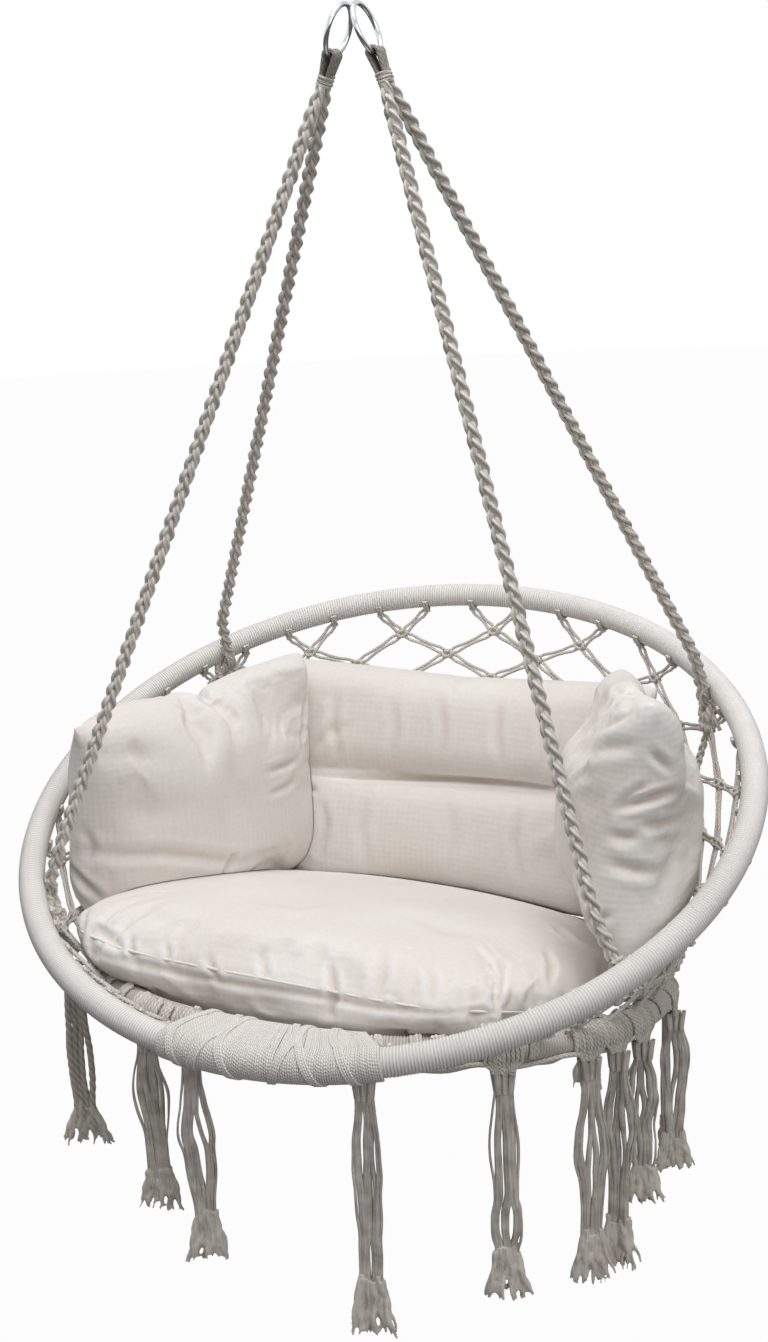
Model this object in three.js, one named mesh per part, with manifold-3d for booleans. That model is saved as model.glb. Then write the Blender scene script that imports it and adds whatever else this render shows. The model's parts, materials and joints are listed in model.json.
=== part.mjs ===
// A hanging hammock chair: two cord-wound steel hoops joined by a knotted cord net,
// carried by four ropes from two steel rings, with fringe tassels and four cushions.
// Millimetres, +Z up, +X to the sitter's left, +Y to the back of the chair.
// The origin is the point where both rings hang.
import * as THREE from 'three';
import { mergeVertices } from 'three/addons/utils/BufferGeometryUtils.js';
import Module from 'manifold-3d';

const wasm = await Module();
wasm.setup();
const degree = Math.PI / 180;

// Fit: the space left between pieces that touch
const seat_gap = 0.4;

// Upper hoop: over its winding, and how its centre hangs below the rings
const upper_hoop_diameter = 800;
const hoop_drop = 785;
const upper_hoop_tilt = 19.25;

// Seat hoop: smaller and tipped back, its front bound just behind the upper hoop's front
const seat_hoop_diameter = 628;
const seat_hoop_tilt = -12.3;
const hoop_front_spacing = 43.3;
const hoop_front_drop = 0.8;

// Both hoops: a round steel tube under a close winding of cord
const hoop_tube_diameter = 22;
const winding_thickness = 2.6;
const winding_joint_width = 0.8;
const winding_joint_angle = -100;

// Steel rings
const ring_outer_diameter = 54;
const ring_wire_diameter = 5.2;
const ring_spacing = 12.6;
const ring_lean = 20;

// Ropes: one to the front and one to the back from each ring
const rope_diameter = 14;
const rope_top_diameter = 12;
const rope_top_spacing = 13.2;
const front_rope_angle = -33.5;
const back_rope_angle = 36.5;

// Rope eye: a flat band of cord over the ring's wire, and the binding below it
const eye_band_width = 20;
const eye_band_thickness = 3.6;
const eye_crown_thickness = 5.6;
const eye_side_clearance = 2.8;
const eye_drop = 9;
const neck_thickness = 8.4;
const neck_length = 15.6;
const binding_cord_diameter = 3.2;
const binding_turns = 3;
const binding_cord_gap = 0.6;

// Hitches: cord wound round the hoop where a rope meets it
const hitch_cord_diameter = 5;
const hitch_turns = 3;
const hitch_cord_gap = 0.7;
const hitch_net_clearance_angle = 3;

// Lashing: cord that binds both hoops together along the front
const lashing_cord_diameter = 4.4;
const lashing_turns = 9;
const lashing_start_angle = -101;
const lashing_end_angle = -69.4;

// Side net: cords knotted in diamonds between the two hoops
const net_cord_diameter = 4.6;
const net_knot_thickness = 10;
const net_columns = 40;
const net_first_row_depth = 44;
const net_row_pitch = 60;
const net_end_margin = 22;
const net_squeezed_row_share = 0.75;
const net_tail_diameter = 8;
const net_cushion_gap = 1.6;

// Seat net: crossing cords that sag inside the seat hoop
const seat_net_sag = 36;
const seat_net_pitch = 72;
const seat_net_cord_diameter = 5;
const seat_net_knot_thickness = 9;
const seat_net_edge_margin = 34;

// Tassels: a round knot under the seat hoop with a fringe of cord below it
const tassel_knot_diameter = 18;
const tassel_outward_angle = 40;
const tassel_lashed_outward = 14;
const tail_tassel_outward = 36;
const longest_tassel = 268;
const tassel_strands = 6;
const tassel_strand_diameter = 5;
const tassel_frayed_diameter = 7.5;
const tassel_spread = 12;
const tassel_uneven_length = 11;
const tassel_waist_drop_share = 0.45;
const tassel_waist_spread_share = 0.75;
const tassel_root_share = 0.35;
// Where each tassel hangs round the seat hoop, and its length as a share of the longest
const tassel_places = [
  { angle: -152, length_share: 0.694, on_tail: true },
  { angle: -114, length_share: 0.724 },
  { angle: -102.5, length_share: 0.843 },
  { angle: -70.5, length_share: 1 },
  { angle: -46.5, length_share: 0.896 },
  { angle: -28.5, length_share: 0.91 },
  { angle: -21, length_share: 0.896 },
  { angle: -12.5, length_share: 0.679 },
  { angle: 8, length_share: 0.709 },
  { angle: 27.5, length_share: 0.828 },
  { angle: 62, length_share: 0.746 },
  { angle: 91, length_share: 0.765 },
  { angle: 120, length_share: 0.791 },
  { angle: 150, length_share: 0.784 },
  { angle: 179, length_share: 0.765 },
];

// Seat cushion
const seat_cushion_side_margin = 20;
const seat_cushion_front_margin = 24;
const seat_cushion_back_margin = 54;
const seat_cushion_front_squareness = 3.2;
const seat_cushion_back_squareness = 2.3;
const seat_cushion_top_crown = 50;
const seat_cushion_bottom_crown = 66;
const seat_cushion_ahead = 2;
const seat_cushion_rise = 26;
const seat_cushion_tilt = -17;
const seat_cushion_roll = 1.6;
const seat_cushion_leftward = 5;

// Back cushion: one pillow sewn across into two tiers
const back_cushion_half_width = 238;
const back_cushion_half_height = 134;
const back_cushion_half_thickness = 60;
const back_cushion_inset = 142.4;
const back_cushion_drop = 72;
const back_cushion_lean = 20;
const back_cushion_bend = 52;
const back_cushion_seam_height = -4;
const seam_thickness_share = 0.34;

// Side cushions: the same pillow at each side, set down a little differently
const side_cushion_half_length = 175;
const side_cushion_half_height = 128;
const side_cushion_half_thickness = 66;
// Their places are shares of the upper hoop's radius
const side_cushion_places = [
  {
    label: 'left', side: -1, out_share: 0.627, behind_share: 0.036, drop_share: 0.093,
    lean: 1, turn: 19, roll: 2,
  },
  {
    label: 'right', side: 1, out_share: 0.668, behind_share: 0.057, drop_share: 0.01,
    lean: 4, turn: 19, roll: -11,
  },
];

// Sizes worked out from the ones above
const hoop_radius = hoop_tube_diameter / 2 + seat_gap + winding_thickness;
const upper_radius = upper_hoop_diameter / 2 - hoop_radius;
const seat_radius = seat_hoop_diameter / 2 - hoop_radius;
const upper_hoop_depth = upper_radius * Math.cos(upper_hoop_tilt * degree);
const seat_hoop_depth = seat_radius * Math.cos(seat_hoop_tilt * degree);
const seat_hoop_forward = upper_hoop_depth - hoop_front_spacing - seat_hoop_depth;
const upper_front_drop = upper_radius * Math.sin(upper_hoop_tilt * degree);
const seat_hoop_drop = upper_front_drop + hoop_front_drop - seat_radius * Math.sin(seat_hoop_tilt * degree);
const ring_radius = (ring_outer_diameter - ring_wire_diameter) / 2;
const seat_cushion_half_width = seat_radius - seat_cushion_side_margin;
const seat_cushion_half_front = seat_radius - seat_cushion_front_margin;
const seat_cushion_half_back = seat_radius - seat_cushion_back_margin;
const clear_hoop_radius = hoop_radius + seat_gap;

// Facet counts
const hoop_steps = 48;
const hoop_sides = 10;
const core_sides = 6;
const tube_sides = 8;
const winding_steps = 10;
const winding_sides = 4;
const rope_steps = 10;

// Shares and angles that keep the small forms tidy
const least_slant_share = 0.45;
const lashing_margin_angle = 2;
const outside_net_reach = 16;

const material = {
  steel: new THREE.MeshStandardMaterial({ color: 0xc9ccd0, roughness: 0.15, metalness: 1 }),
  tube: new THREE.MeshStandardMaterial({ color: 0xb9b6b0, roughness: 0.45, metalness: 0.6 }),
  winding: new THREE.MeshStandardMaterial({ color: 0xdedad3, roughness: 0.85, metalness: 0 }),
  rope: new THREE.MeshStandardMaterial({ color: 0xada598, roughness: 0.92, metalness: 0 }),
  net: new THREE.MeshStandardMaterial({ color: 0xbdb5a9, roughness: 0.92, metalness: 0 }),
  fringe: new THREE.MeshStandardMaterial({ color: 0x958c80, roughness: 0.94, metalness: 0 }),
  cushion: new THREE.MeshStandardMaterial({ color: 0xddd5ca, roughness: 0.95, metalness: 0 }),
};

const group = new THREE.Group();

function add_piece(name, geometry, finish) {
  const mesh = new THREE.Mesh(geometry, finish);
  mesh.name = name;
  group.add(mesh);
  return mesh;
}

// A closed geometry as a solid that can be joined and cut
function solid_of(geometry) {
  const bare = geometry.clone();
  bare.deleteAttribute('normal');
  bare.deleteAttribute('uv');
  const merged = mergeVertices(bare);
  return new wasm.Manifold(new wasm.Mesh({
    numProp: 3,
    vertProperties: new Float32Array(merged.attributes.position.array),
    triVerts: new Uint32Array(merged.index.array),
  }));
}

function geometry_of(solid) {
  const mesh = solid.getMesh();
  const geometry = new THREE.BufferGeometry();
  geometry.setAttribute('position', new THREE.BufferAttribute(new Float32Array(mesh.vertProperties), 3));
  geometry.setIndex(new THREE.BufferAttribute(new Uint32Array(mesh.triVerts), 1));
  geometry.computeVertexNormals();
  return geometry;
}

function union_of(solids) {
  return solids.reduce((whole, solid) => whole.add(solid));
}

function vector(x, y, z) {
  return new THREE.Vector3(x, y, z);
}

// A closed round tube through the points, with its own radius at each one
function swept_tube(points, radius_at, sides) {
  const positions = [];
  const index = [];
  const last = points.length - 1;
  let side_axis = vector(0, 0, 1);
  for (let step = 0; step <= last; step += 1) {
    const before = points[Math.max(step - 1, 0)];
    const after = points[Math.min(step + 1, last)];
    const along = after.clone().sub(before).normalize();
    if (step === 0 && Math.abs(along.dot(side_axis)) > 0.9) {
      side_axis = vector(1, 0, 0);
    }
    side_axis.addScaledVector(along, -side_axis.dot(along)).normalize();
    const other_axis = along.clone().cross(side_axis);
    const radius = radius_at(step / last);
    for (let side = 0; side < sides; side += 1) {
      const turn = 2 * Math.PI * side / sides;
      const point = points[step].clone();
      point.addScaledVector(side_axis, radius * Math.cos(turn));
      point.addScaledVector(other_axis, radius * Math.sin(turn));
      positions.push(point.x, point.y, point.z);
    }
  }
  for (let step = 0; step < last; step += 1) {
    for (let side = 0; side < sides; side += 1) {
      const next = (side + 1) % sides;
      const here = step * sides;
      const there = here + sides;
      index.push(here + side, here + next, there + next);
      index.push(here + side, there + next, there + side);
    }
  }
  for (let side = 1; side < sides - 1; side += 1) {
    index.push(0, side + 1, side);
    index.push(last * sides, last * sides + side, last * sides + side + 1);
  }
  const geometry = new THREE.BufferGeometry();
  geometry.setAttribute('position', new THREE.Float32BufferAttribute(positions, 3));
  geometry.setIndex(index);
  geometry.computeVertexNormals();
  return geometry;
}

function rod(start, end, diameter, sides) {
  return solid_of(swept_tube([start, end], () => diameter / 2, sides));
}

// Least distance between one turn of a winding and the next, on its points
function least_gap(points, steps_per_turn, diameter) {
  let least = Infinity;
  for (let first = 0; first < points.length; first += 1) {
    for (let second = first + Math.round(steps_per_turn * 0.6); second < points.length; second += 1) {
      least = Math.min(least, points[first].distanceTo(points[second]) - diameter);
    }
  }
  return least;
}

// Hoops

// A hoop's centre line runs straight along each facet, a little inside the true circle
function facet_share(angle) {
  const facet = 360 / hoop_steps;
  const from_middle = ((angle % facet) + facet) % facet - facet / 2;
  return Math.cos(facet / 2 * degree) / Math.cos(from_middle * degree);
}

function upper_point(angle) {
  const across = upper_radius * facet_share(angle) * Math.cos(angle * degree);
  const back = upper_radius * facet_share(angle) * Math.sin(angle * degree);
  const tilt = upper_hoop_tilt * degree;
  return vector(across, back * Math.cos(tilt), -hoop_drop + back * Math.sin(tilt));
}

// rise lifts the point square to the plane of the seat hoop
function seat_point(angle, radius = seat_radius, rise = 0) {
  const across = radius * facet_share(angle) * Math.cos(angle * degree);
  const back = radius * facet_share(angle) * Math.sin(angle * degree);
  const tilt = seat_hoop_tilt * degree;
  return vector(
    across,
    -seat_hoop_forward + back * Math.cos(tilt) - rise * Math.sin(tilt),
    -hoop_drop - seat_hoop_drop + back * Math.sin(tilt) + rise * Math.cos(tilt),
  );
}

function tangent_at(point_of, angle) {
  return point_of(angle + 1).sub(point_of(angle - 1)).normalize();
}

function hoop_ring(radius, thickness, sides, tilt, forward, drop) {
  const geometry = new THREE.TorusGeometry(radius, thickness, sides, hoop_steps);
  geometry.rotateX(tilt * degree);
  geometry.translate(0, -forward, -drop);
  return solid_of(geometry);
}

function make_hoop(name, radius, tilt, forward, drop, point_of) {
  const tube = hoop_ring(radius, hoop_tube_diameter / 2, core_sides, tilt, forward, drop);
  add_piece(`${name}_tube`, geometry_of(tube), material.tube);
  const bore_radius = hoop_tube_diameter / 2 + seat_gap;
  const outside = hoop_ring(radius, hoop_radius, hoop_sides, tilt, forward, drop);
  const bore = hoop_ring(radius, bore_radius, core_sides, tilt, forward, drop);
  const middle = point_of(winding_joint_angle);
  const half_joint = tangent_at(point_of, winding_joint_angle).multiplyScalar(winding_joint_width / 2);
  const joint_start = middle.clone().sub(half_joint);
  const joint = rod(joint_start, middle.clone().add(half_joint), 3 * hoop_radius, tube_sides);
  add_piece(`${name}_winding`, geometry_of(outside.subtract(bore).subtract(joint)), material.winding);
}

make_hoop('upper_hoop', upper_radius, upper_hoop_tilt, 0, hoop_drop, upper_point);
make_hoop(
  'seat_hoop', seat_radius, seat_hoop_tilt, seat_hoop_forward, hoop_drop + seat_hoop_drop, seat_point,
);
const upper_hoop_space = hoop_ring(
  upper_radius, clear_hoop_radius, hoop_sides, upper_hoop_tilt, 0, hoop_drop,
);
const seat_hoop_space = hoop_ring(
  seat_radius, clear_hoop_radius, hoop_sides, seat_hoop_tilt, seat_hoop_forward, hoop_drop + seat_hoop_drop,
);

// Rings, rope eyes and ropes. side is -1 at the left and 1 at the right.

function pull_direction(side) {
  return vector(side * Math.sin(ring_lean * degree), 0, -Math.cos(ring_lean * degree));
}

function ring_top(side) {
  return vector(side * ring_spacing / 2, 0, ring_wire_diameter / 2);
}

function ring_foot(side) {
  return ring_top(side).addScaledVector(pull_direction(side), 2 * ring_radius);
}

function make_ring(name, side) {
  const geometry = new THREE.TorusGeometry(ring_radius, ring_wire_diameter / 2, 8, 28);
  geometry.rotateY(Math.PI / 2);
  geometry.rotateY(-side * ring_lean * degree);
  const centre = ring_top(side).addScaledVector(pull_direction(side), ring_radius);
  geometry.translate(centre.x, centre.y, centre.z);
  add_piece(name, geometry, material.steel);
}

// The eye's outline square to the wire: x sideways, y up along the pull
function eye_outline(half_width, top, foot) {
  const shape = new THREE.Shape();
  shape.moveTo(-half_width, foot);
  shape.lineTo(half_width, foot);
  shape.lineTo(half_width, top - half_width);
  shape.absarc(0, top - half_width, half_width, 0, Math.PI, false);
  shape.lineTo(-half_width, foot);
  return shape;
}

const eye_bore_half_width = ring_wire_diameter / 2 + eye_side_clearance;
const eye_half_width = eye_bore_half_width + eye_band_thickness;
const eye_bore_top = ring_wire_diameter / 2 + seat_gap;
const neck_half_thickness = neck_thickness / 2;
const neck_flat = eye_band_width / 2 - neck_half_thickness;
const collar_start = eye_drop + eye_band_thickness;
const neck_end = collar_start + neck_length;

// The groove that the ring's wire runs in, all the way round, so the eye can slide on it
function ring_groove() {
  const bearing_radius = ring_radius - eye_bore_top;
  const outer_radius = ring_radius + eye_drop;
  const profile = new THREE.Shape();
  profile.moveTo(outer_radius, -eye_bore_half_width);
  profile.lineTo(outer_radius, eye_bore_half_width);
  profile.lineTo(bearing_radius + eye_bore_half_width, eye_bore_half_width);
  profile.absarc(
    bearing_radius + eye_bore_half_width, 0, eye_bore_half_width, Math.PI / 2, 1.5 * Math.PI, false,
  );
  const outline = profile.getPoints(6);
  outline.push(outline[0].clone());
  const groove = new THREE.LatheGeometry(outline, 48);
  groove.rotateZ(Math.PI / 2);
  groove.translate(0, ring_radius, 0);
  return solid_of(groove);
}

function make_eye(name, side) {
  const outline = eye_outline(eye_half_width, eye_bore_top + eye_crown_thickness, -collar_start);
  const band = new THREE.ExtrudeGeometry(outline, {
    depth: eye_band_width, bevelEnabled: false, curveSegments: 6,
  });
  band.translate(0, 0, -eye_band_width / 2);
  const stadium = new THREE.Shape();
  stadium.absarc(0, neck_flat, neck_half_thickness, 0, Math.PI, false);
  stadium.absarc(0, -neck_flat, neck_half_thickness, Math.PI, 2 * Math.PI, false);
  const neck = new THREE.ExtrudeGeometry(stadium, {
    depth: neck_end - eye_drop - seat_gap, bevelEnabled: false, curveSegments: 6,
  });
  neck.rotateX(Math.PI / 2);
  neck.translate(0, -eye_drop - seat_gap, 0);
  const bore = new THREE.ExtrudeGeometry(eye_outline(eye_bore_half_width, 0, -eye_drop), {
    depth: 2 * eye_band_width, bevelEnabled: false, curveSegments: 6,
  });
  bore.translate(0, 0, -eye_band_width);
  const whole = solid_of(band).add(solid_of(neck)).subtract(solid_of(bore)).subtract(ring_groove());
  const geometry = geometry_of(whole);
  geometry.rotateX(Math.PI / 2);
  geometry.rotateY(-side * ring_lean * degree);
  const foot = ring_foot(side);
  geometry.translate(foot.x, foot.y, foot.z);
  add_piece(name, geometry, material.rope);
}

// A winding's last turns run straight on for one cord diameter
function with_straight_ends(points, diameter) {
  const last = points.length - 1;
  const first_way = points[0].clone().sub(points[1]).setLength(diameter);
  const last_way = points[last].clone().sub(points[last - 1]).setLength(diameter);
  return [points[0].clone().add(first_way), ...points, points[last].clone().add(last_way)];
}

function add_winding(name, points, steps_per_turn, diameter, finish) {
  console.log(name, 'least gap', least_gap(points, steps_per_turn, diameter).toFixed(2));
  const cord = swept_tube(with_straight_ends(points, diameter), () => diameter / 2, winding_sides);
  add_piece(name, cord, finish);
}

// Puts the corners of a winding's turns far enough out for the flats between them to clear
const turn_corner_share = 1 / Math.cos(Math.PI / winding_steps);

// The binding turns round the flat neck: two half rounds joined by straights
function make_binding(name, side) {
  const reach = (neck_half_thickness + seat_gap + binding_cord_diameter / 2) * turn_corner_share;
  const pitch = binding_cord_diameter + binding_cord_gap;
  const first_drop = collar_start + seat_gap + binding_cord_diameter / 2;
  const sideways = vector(Math.cos(ring_lean * degree), 0, side * Math.sin(ring_lean * degree));
  const points = [];
  for (let step = 0; step <= binding_turns * winding_steps; step += 1) {
    const turn = 2 * Math.PI * ((step + 0.5) % winding_steps) / winding_steps;
    const drop = first_drop + pitch * step / winding_steps;
    const point = ring_foot(side).addScaledVector(pull_direction(side), drop);
    point.addScaledVector(sideways, reach * Math.cos(turn));
    point.y += reach * Math.sin(turn) + Math.sign(Math.sin(turn)) * neck_flat;
    points.push(point);
  }
  add_winding(name, points, winding_steps, binding_cord_diameter, material.rope);
}

const rope_places = [
  { name: 'front_left', side: -1, angle: -180 - front_rope_angle, fore: -1, tassel: tassel_places[0] },
  { name: 'back_left', side: -1, angle: 180 - back_rope_angle, fore: 1 },
  { name: 'front_right', side: 1, angle: front_rope_angle, fore: -1 },
  { name: 'back_right', side: 1, angle: back_rope_angle, fore: 1 },
];
const hitch_centre_radius = (hoop_radius + seat_gap + hitch_cord_diameter / 2) * turn_corner_share;
const hitch_outer_radius = hitch_centre_radius + hitch_cord_diameter / 2;

// The space round the hoop that a hitch takes
function hitch_space(place) {
  const middle = upper_point(place.angle);
  const along = tangent_at(upper_point, place.angle);
  const half_length = along.multiplyScalar(hitch_turns * hitch_cord_diameter);
  const radius = (hitch_outer_radius + seat_gap) / Math.cos(Math.PI / hoop_sides);
  return rod(middle.clone().sub(half_length), middle.clone().add(half_length), 2 * radius, hoop_sides);
}

function make_rope(place) {
  const foot_of_ring = ring_foot(place.side);
  const pull = pull_direction(place.side);
  const neck_foot = foot_of_ring.clone().addScaledVector(pull, neck_end + seat_gap);
  const above_neck_foot = rod(foot_of_ring, neck_foot, 3 * eye_band_width, tube_sides);
  const top = neck_foot.clone().addScaledVector(pull, -rope_top_diameter / 4);
  top.y += place.fore * rope_top_spacing / 2;
  const foot = upper_point(place.angle);
  const points = [];
  for (let step = 0; step <= rope_steps; step += 1) {
    points.push(top.clone().lerp(foot, step / rope_steps));
  }
  const widening = (share) => Math.min(share * rope_steps / 3, 1);
  const gained = rope_diameter - rope_top_diameter;
  const radius_at = (share) => (rope_top_diameter + gained * widening(share)) / 2;
  const whole_rope = solid_of(swept_tube(points, radius_at, tube_sides));
  const rope = whole_rope.subtract(above_neck_foot).subtract(hitch_space(place));
  add_piece(`rope_${place.name}`, geometry_of(rope), material.rope);
}

// Turns of cord round the hoop that start and end at its outer side
function make_hitch(place) {
  const pitch = hitch_cord_diameter + hitch_cord_gap;
  const middle = upper_point(place.angle);
  const along = tangent_at(upper_point, place.angle);
  const out = vector(Math.cos(place.angle * degree), Math.sin(place.angle * degree), 0);
  out.addScaledVector(along, -out.dot(along)).normalize();
  const up = along.clone().cross(out);
  const count = hitch_turns * winding_steps;
  const points = [];
  for (let step = 0; step <= count; step += 1) {
    const turn = 2 * Math.PI * step / winding_steps;
    const point = middle.clone().addScaledVector(along, pitch * (step - count / 2) / winding_steps);
    point.addScaledVector(out, hitch_centre_radius * Math.cos(turn));
    point.addScaledVector(up, hitch_centre_radius * Math.sin(turn));
    points.push(point);
  }
  add_winding(`hitch_${place.name}`, points, winding_steps, hitch_cord_diameter, material.net);
}

for (const [label, side] of [['left', -1], ['right', 1]]) {
  make_ring(`ring_${label}`, side);
  make_eye(`rope_eye_${label}`, side);
  make_binding(`rope_binding_${label}`, side);
}
for (const place of rope_places) {
  make_rope(place);
  make_hitch(place);
}

// Front lashing: one cord that winds round both hoops at once

const lashing_centre_radius = (hoop_radius + seat_gap + lashing_cord_diameter / 2) * turn_corner_share;
const lashing_outer_radius = lashing_centre_radius + lashing_cord_diameter / 2;

function make_lashing() {
  const count = lashing_turns * winding_steps;
  const points = [];
  for (let step = 0; step <= count; step += 1) {
    const angle = lashing_start_angle + (lashing_end_angle - lashing_start_angle) * step / count;
    const outer = upper_point(angle);
    const inner = seat_point(angle);
    const along = tangent_at(upper_point, angle);
    const forward = outer.clone().sub(inner);
    forward.addScaledVector(along, -forward.dot(along)).normalize();
    const up = along.clone().cross(forward).normalize();
    const turn = 2 * Math.PI * (step % winding_steps) / winding_steps;
    const point = Math.cos(turn) > 0 ? outer.clone() : inner.clone();
    point.addScaledVector(forward, lashing_centre_radius * Math.cos(turn));
    point.addScaledVector(up, lashing_centre_radius * Math.sin(turn));
    points.push(point);
  }
  add_winding('front_lashing', points, winding_steps, lashing_cord_diameter, material.winding);
}

make_lashing();

// The space that the lashing takes round one hoop
function lashing_space(point_of) {
  const first = lashing_start_angle - lashing_margin_angle;
  const span = lashing_end_angle + lashing_margin_angle - first;
  const points = [];
  for (let step = 0; step <= rope_steps; step += 1) {
    points.push(point_of(first + span * step / rope_steps));
  }
  const radius = (lashing_outer_radius + seat_gap) / Math.cos(Math.PI / hoop_sides);
  return solid_of(swept_tube(points, () => radius, hoop_sides));
}

const lashing_at_seat = lashing_space(seat_point);
const lashing_at_upper = lashing_space(upper_point);

function in_lashing(angle) {
  const after_start = angle > lashing_start_angle - lashing_margin_angle;
  return after_start && angle < lashing_end_angle + lashing_margin_angle;
}

// Nets and the tassels' hanging places

// A tassel hangs at the hoop's outer lower side, below the lashing, or outside from a rope's end
function tassel_pivot({ angle, on_tail }) {
  const out = vector(Math.cos(angle * degree), Math.sin(angle * degree), 0);
  const knot_reach = seat_gap + tassel_knot_diameter / 2;
  const pivot = seat_point(angle);
  if (on_tail) {
    return pivot.addScaledVector(out, tail_tassel_outward);
  }
  if (in_lashing(angle)) {
    pivot.addScaledVector(out, tassel_lashed_outward);
    pivot.z -= lashing_outer_radius + knot_reach;
    return pivot;
  }
  pivot.addScaledVector(out, (hoop_radius + knot_reach) * Math.sin(tassel_outward_angle * degree));
  pivot.z -= (hoop_radius + knot_reach) * Math.cos(tassel_outward_angle * degree);
  return pivot;
}

// A knotted net as one closed form. A knot is a small block whose four sides carry its cords.
// Each knot has its place, its arms in turn, and for each arm another knot, an end or nothing.
function net_form(knots, cord_width, knot_thickness) {
  const positions = [];
  const index = [];
  const add_point = (point) => positions.push(point.x, point.y, point.z) / 3 - 1;
  const add_quad = (one, two, three, four) => index.push(one, two, three, one, three, four);
  const half = cord_width / 2;
  for (const knot of knots) {
    const first = knot.arms[0].way;
    knot.normal = first.clone().cross(knot.arms[1].way).normalize();
    knot.corners = knot.arms.map((arm, turn) => {
      const middle = arm.way.clone().add(knot.arms[(turn + 1) % 4].way).setLength(half * Math.SQRT2);
      return [-half, half].map((rise) => add_point(
        knot.place.clone().add(middle).addScaledVector(knot.normal, rise),
      ));
    });
    for (const [face, rise] of [[0, -knot_thickness / 2], [1, knot_thickness / 2]]) {
      const peak = add_point(knot.place.clone().addScaledVector(knot.normal, rise));
      for (let turn = 0; turn < 4; turn += 1) {
        const corner = knot.corners[turn][face];
        const next = knot.corners[(turn + 1) % 4][face];
        index.push(...(face ? [peak, corner, next] : [peak, next, corner]));
      }
    }
  }
  const add_cord = (from, to) => {
    for (let side = 0; side < 4; side += 1) {
      const next = (side + 1) % 4;
      add_quad(from[side], from[next], to[next], to[side]);
    }
  };
  for (const knot of knots) {
    knot.arms.forEach((arm, turn) => {
      const before = knot.corners[(turn + 3) % 4];
      const after = knot.corners[turn];
      const face = [before[0], after[0], after[1], before[1]];
      if (arm.knot && arm.knot.number > knot.number) {
        const other_turn = (turn + 2) % 4;
        const other_before = arm.knot.corners[(other_turn + 3) % 4];
        const other_after = arm.knot.corners[other_turn];
        add_cord(face, [other_after[0], other_before[0], other_before[1], other_after[1]]);
      } else if (arm.end) {
        const across = knot.arms[(turn + 1) % 4].way.clone().sub(knot.arms[(turn + 3) % 4].way);
        const along = arm.end.along.clone().multiplyScalar(Math.sign(across.dot(arm.end.along)));
        const thick = arm.end.out.clone().cross(along);
        thick.multiplyScalar(Math.sign(thick.dot(knot.normal)));
        const reach = half / Math.max(Math.abs(arm.way.dot(arm.end.out)), least_slant_share);
        const end_point = (way, rise) => add_point(
          arm.end.place.clone().addScaledVector(along, way * reach).addScaledVector(thick, rise * half),
        );
        const tip = [end_point(-1, -1), end_point(1, -1), end_point(1, 1), end_point(-1, 1)];
        add_cord(face, tip);
        add_quad(...tip);
      } else if (!arm.knot) {
        add_quad(...face);
      }
    });
  }
  const geometry = new THREE.BufferGeometry();
  geometry.setAttribute('position', new THREE.Float32BufferAttribute(positions, 3));
  geometry.setIndex(index);
  return geometry;
}

// Where a cord from the given place ends on a hoop's winding
function end_on_hoop(point_of, angle, from, clear_radius) {
  const along = tangent_at(point_of, angle);
  const out = from.clone().sub(point_of(angle));
  out.addScaledVector(along, -out.dot(along)).normalize();
  return { place: point_of(angle).addScaledVector(out, clear_radius), out, along };
}

function way_between(from, to) {
  return to.clone().sub(from).normalize();
}

function net_gap(angle) {
  return upper_point(angle).distanceTo(seat_point(angle));
}

function net_point(angle, depth) {
  return upper_point(angle).lerp(seat_point(angle), depth / net_gap(angle));
}

const column_angle = 360 / net_columns;

function side_net_knots() {
  const knots = new Map();
  for (let column = 0; column < net_columns; column += 1) {
    const angle = column * column_angle - 180;
    const deepest = net_gap(angle) - net_end_margin;
    for (let row = column % 2; !in_lashing(angle); row += 2) {
      const wanted = net_first_row_depth + net_row_pitch * row;
      if (deepest < wanted - net_row_pitch * net_squeezed_row_share) {
        break;
      }
      if (row > 0 || deepest > wanted) {
        const place = net_point(angle, Math.min(wanted, deepest));
        knots.set(`${column},${row}`, { number: knots.size, place, angle, column, row, arms: [] });
      }
    }
  }
  return knots;
}

function near_hitch(angle) {
  return rope_places.some((place) => {
    const apart = Math.abs(((angle - place.angle + 540) % 360) - 180);
    return apart < hitch_net_clearance_angle;
  });
}

function make_side_net() {
  const knots = side_net_knots();
  for (const knot of knots.values()) {
    for (const [turn, fall] of [[1, -1], [1, 1], [-1, 1], [-1, -1]]) {
      const beside = (knot.column + turn + net_columns) % net_columns;
      const other = knots.get(`${beside},${knot.row + fall}`);
      const end_angle = knot.angle + turn * column_angle / 2;
      const point_of = fall > 0 ? seat_point : upper_point;
      const end = end_on_hoop(point_of, end_angle, knot.place, clear_hoop_radius);
      const blocked = in_lashing(end_angle) || (fall < 0 && near_hitch(end_angle));
      const way = way_between(knot.place, other ? other.place : end.place);
      knot.arms.push({ way, knot: other, end: other || blocked ? undefined : end });
    }
  }
  let net = solid_of(net_form([...knots.values()], net_cord_diameter, net_knot_thickness));
  for (const place of rope_places) {
    const tail_end = seat_point(place.angle);
    if (place.tassel) {
      tail_end.copy(tassel_pivot(place.tassel));
      tail_end.z += tassel_knot_diameter / 2 + seat_gap;
    }
    const whole_tail = rod(upper_point(place.angle), tail_end, net_tail_diameter, 6);
    const tail = whole_tail.subtract(hitch_space(place)).subtract(seat_hoop_space);
    if (place.tassel) {
      add_piece(`rope_tail_${place.name}`, geometry_of(tail), material.rope);
    } else {
      net = net.add(tail);
    }
  }
  add_piece('side_net', geometry_of(net), material.net);
}

make_side_net();

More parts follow.
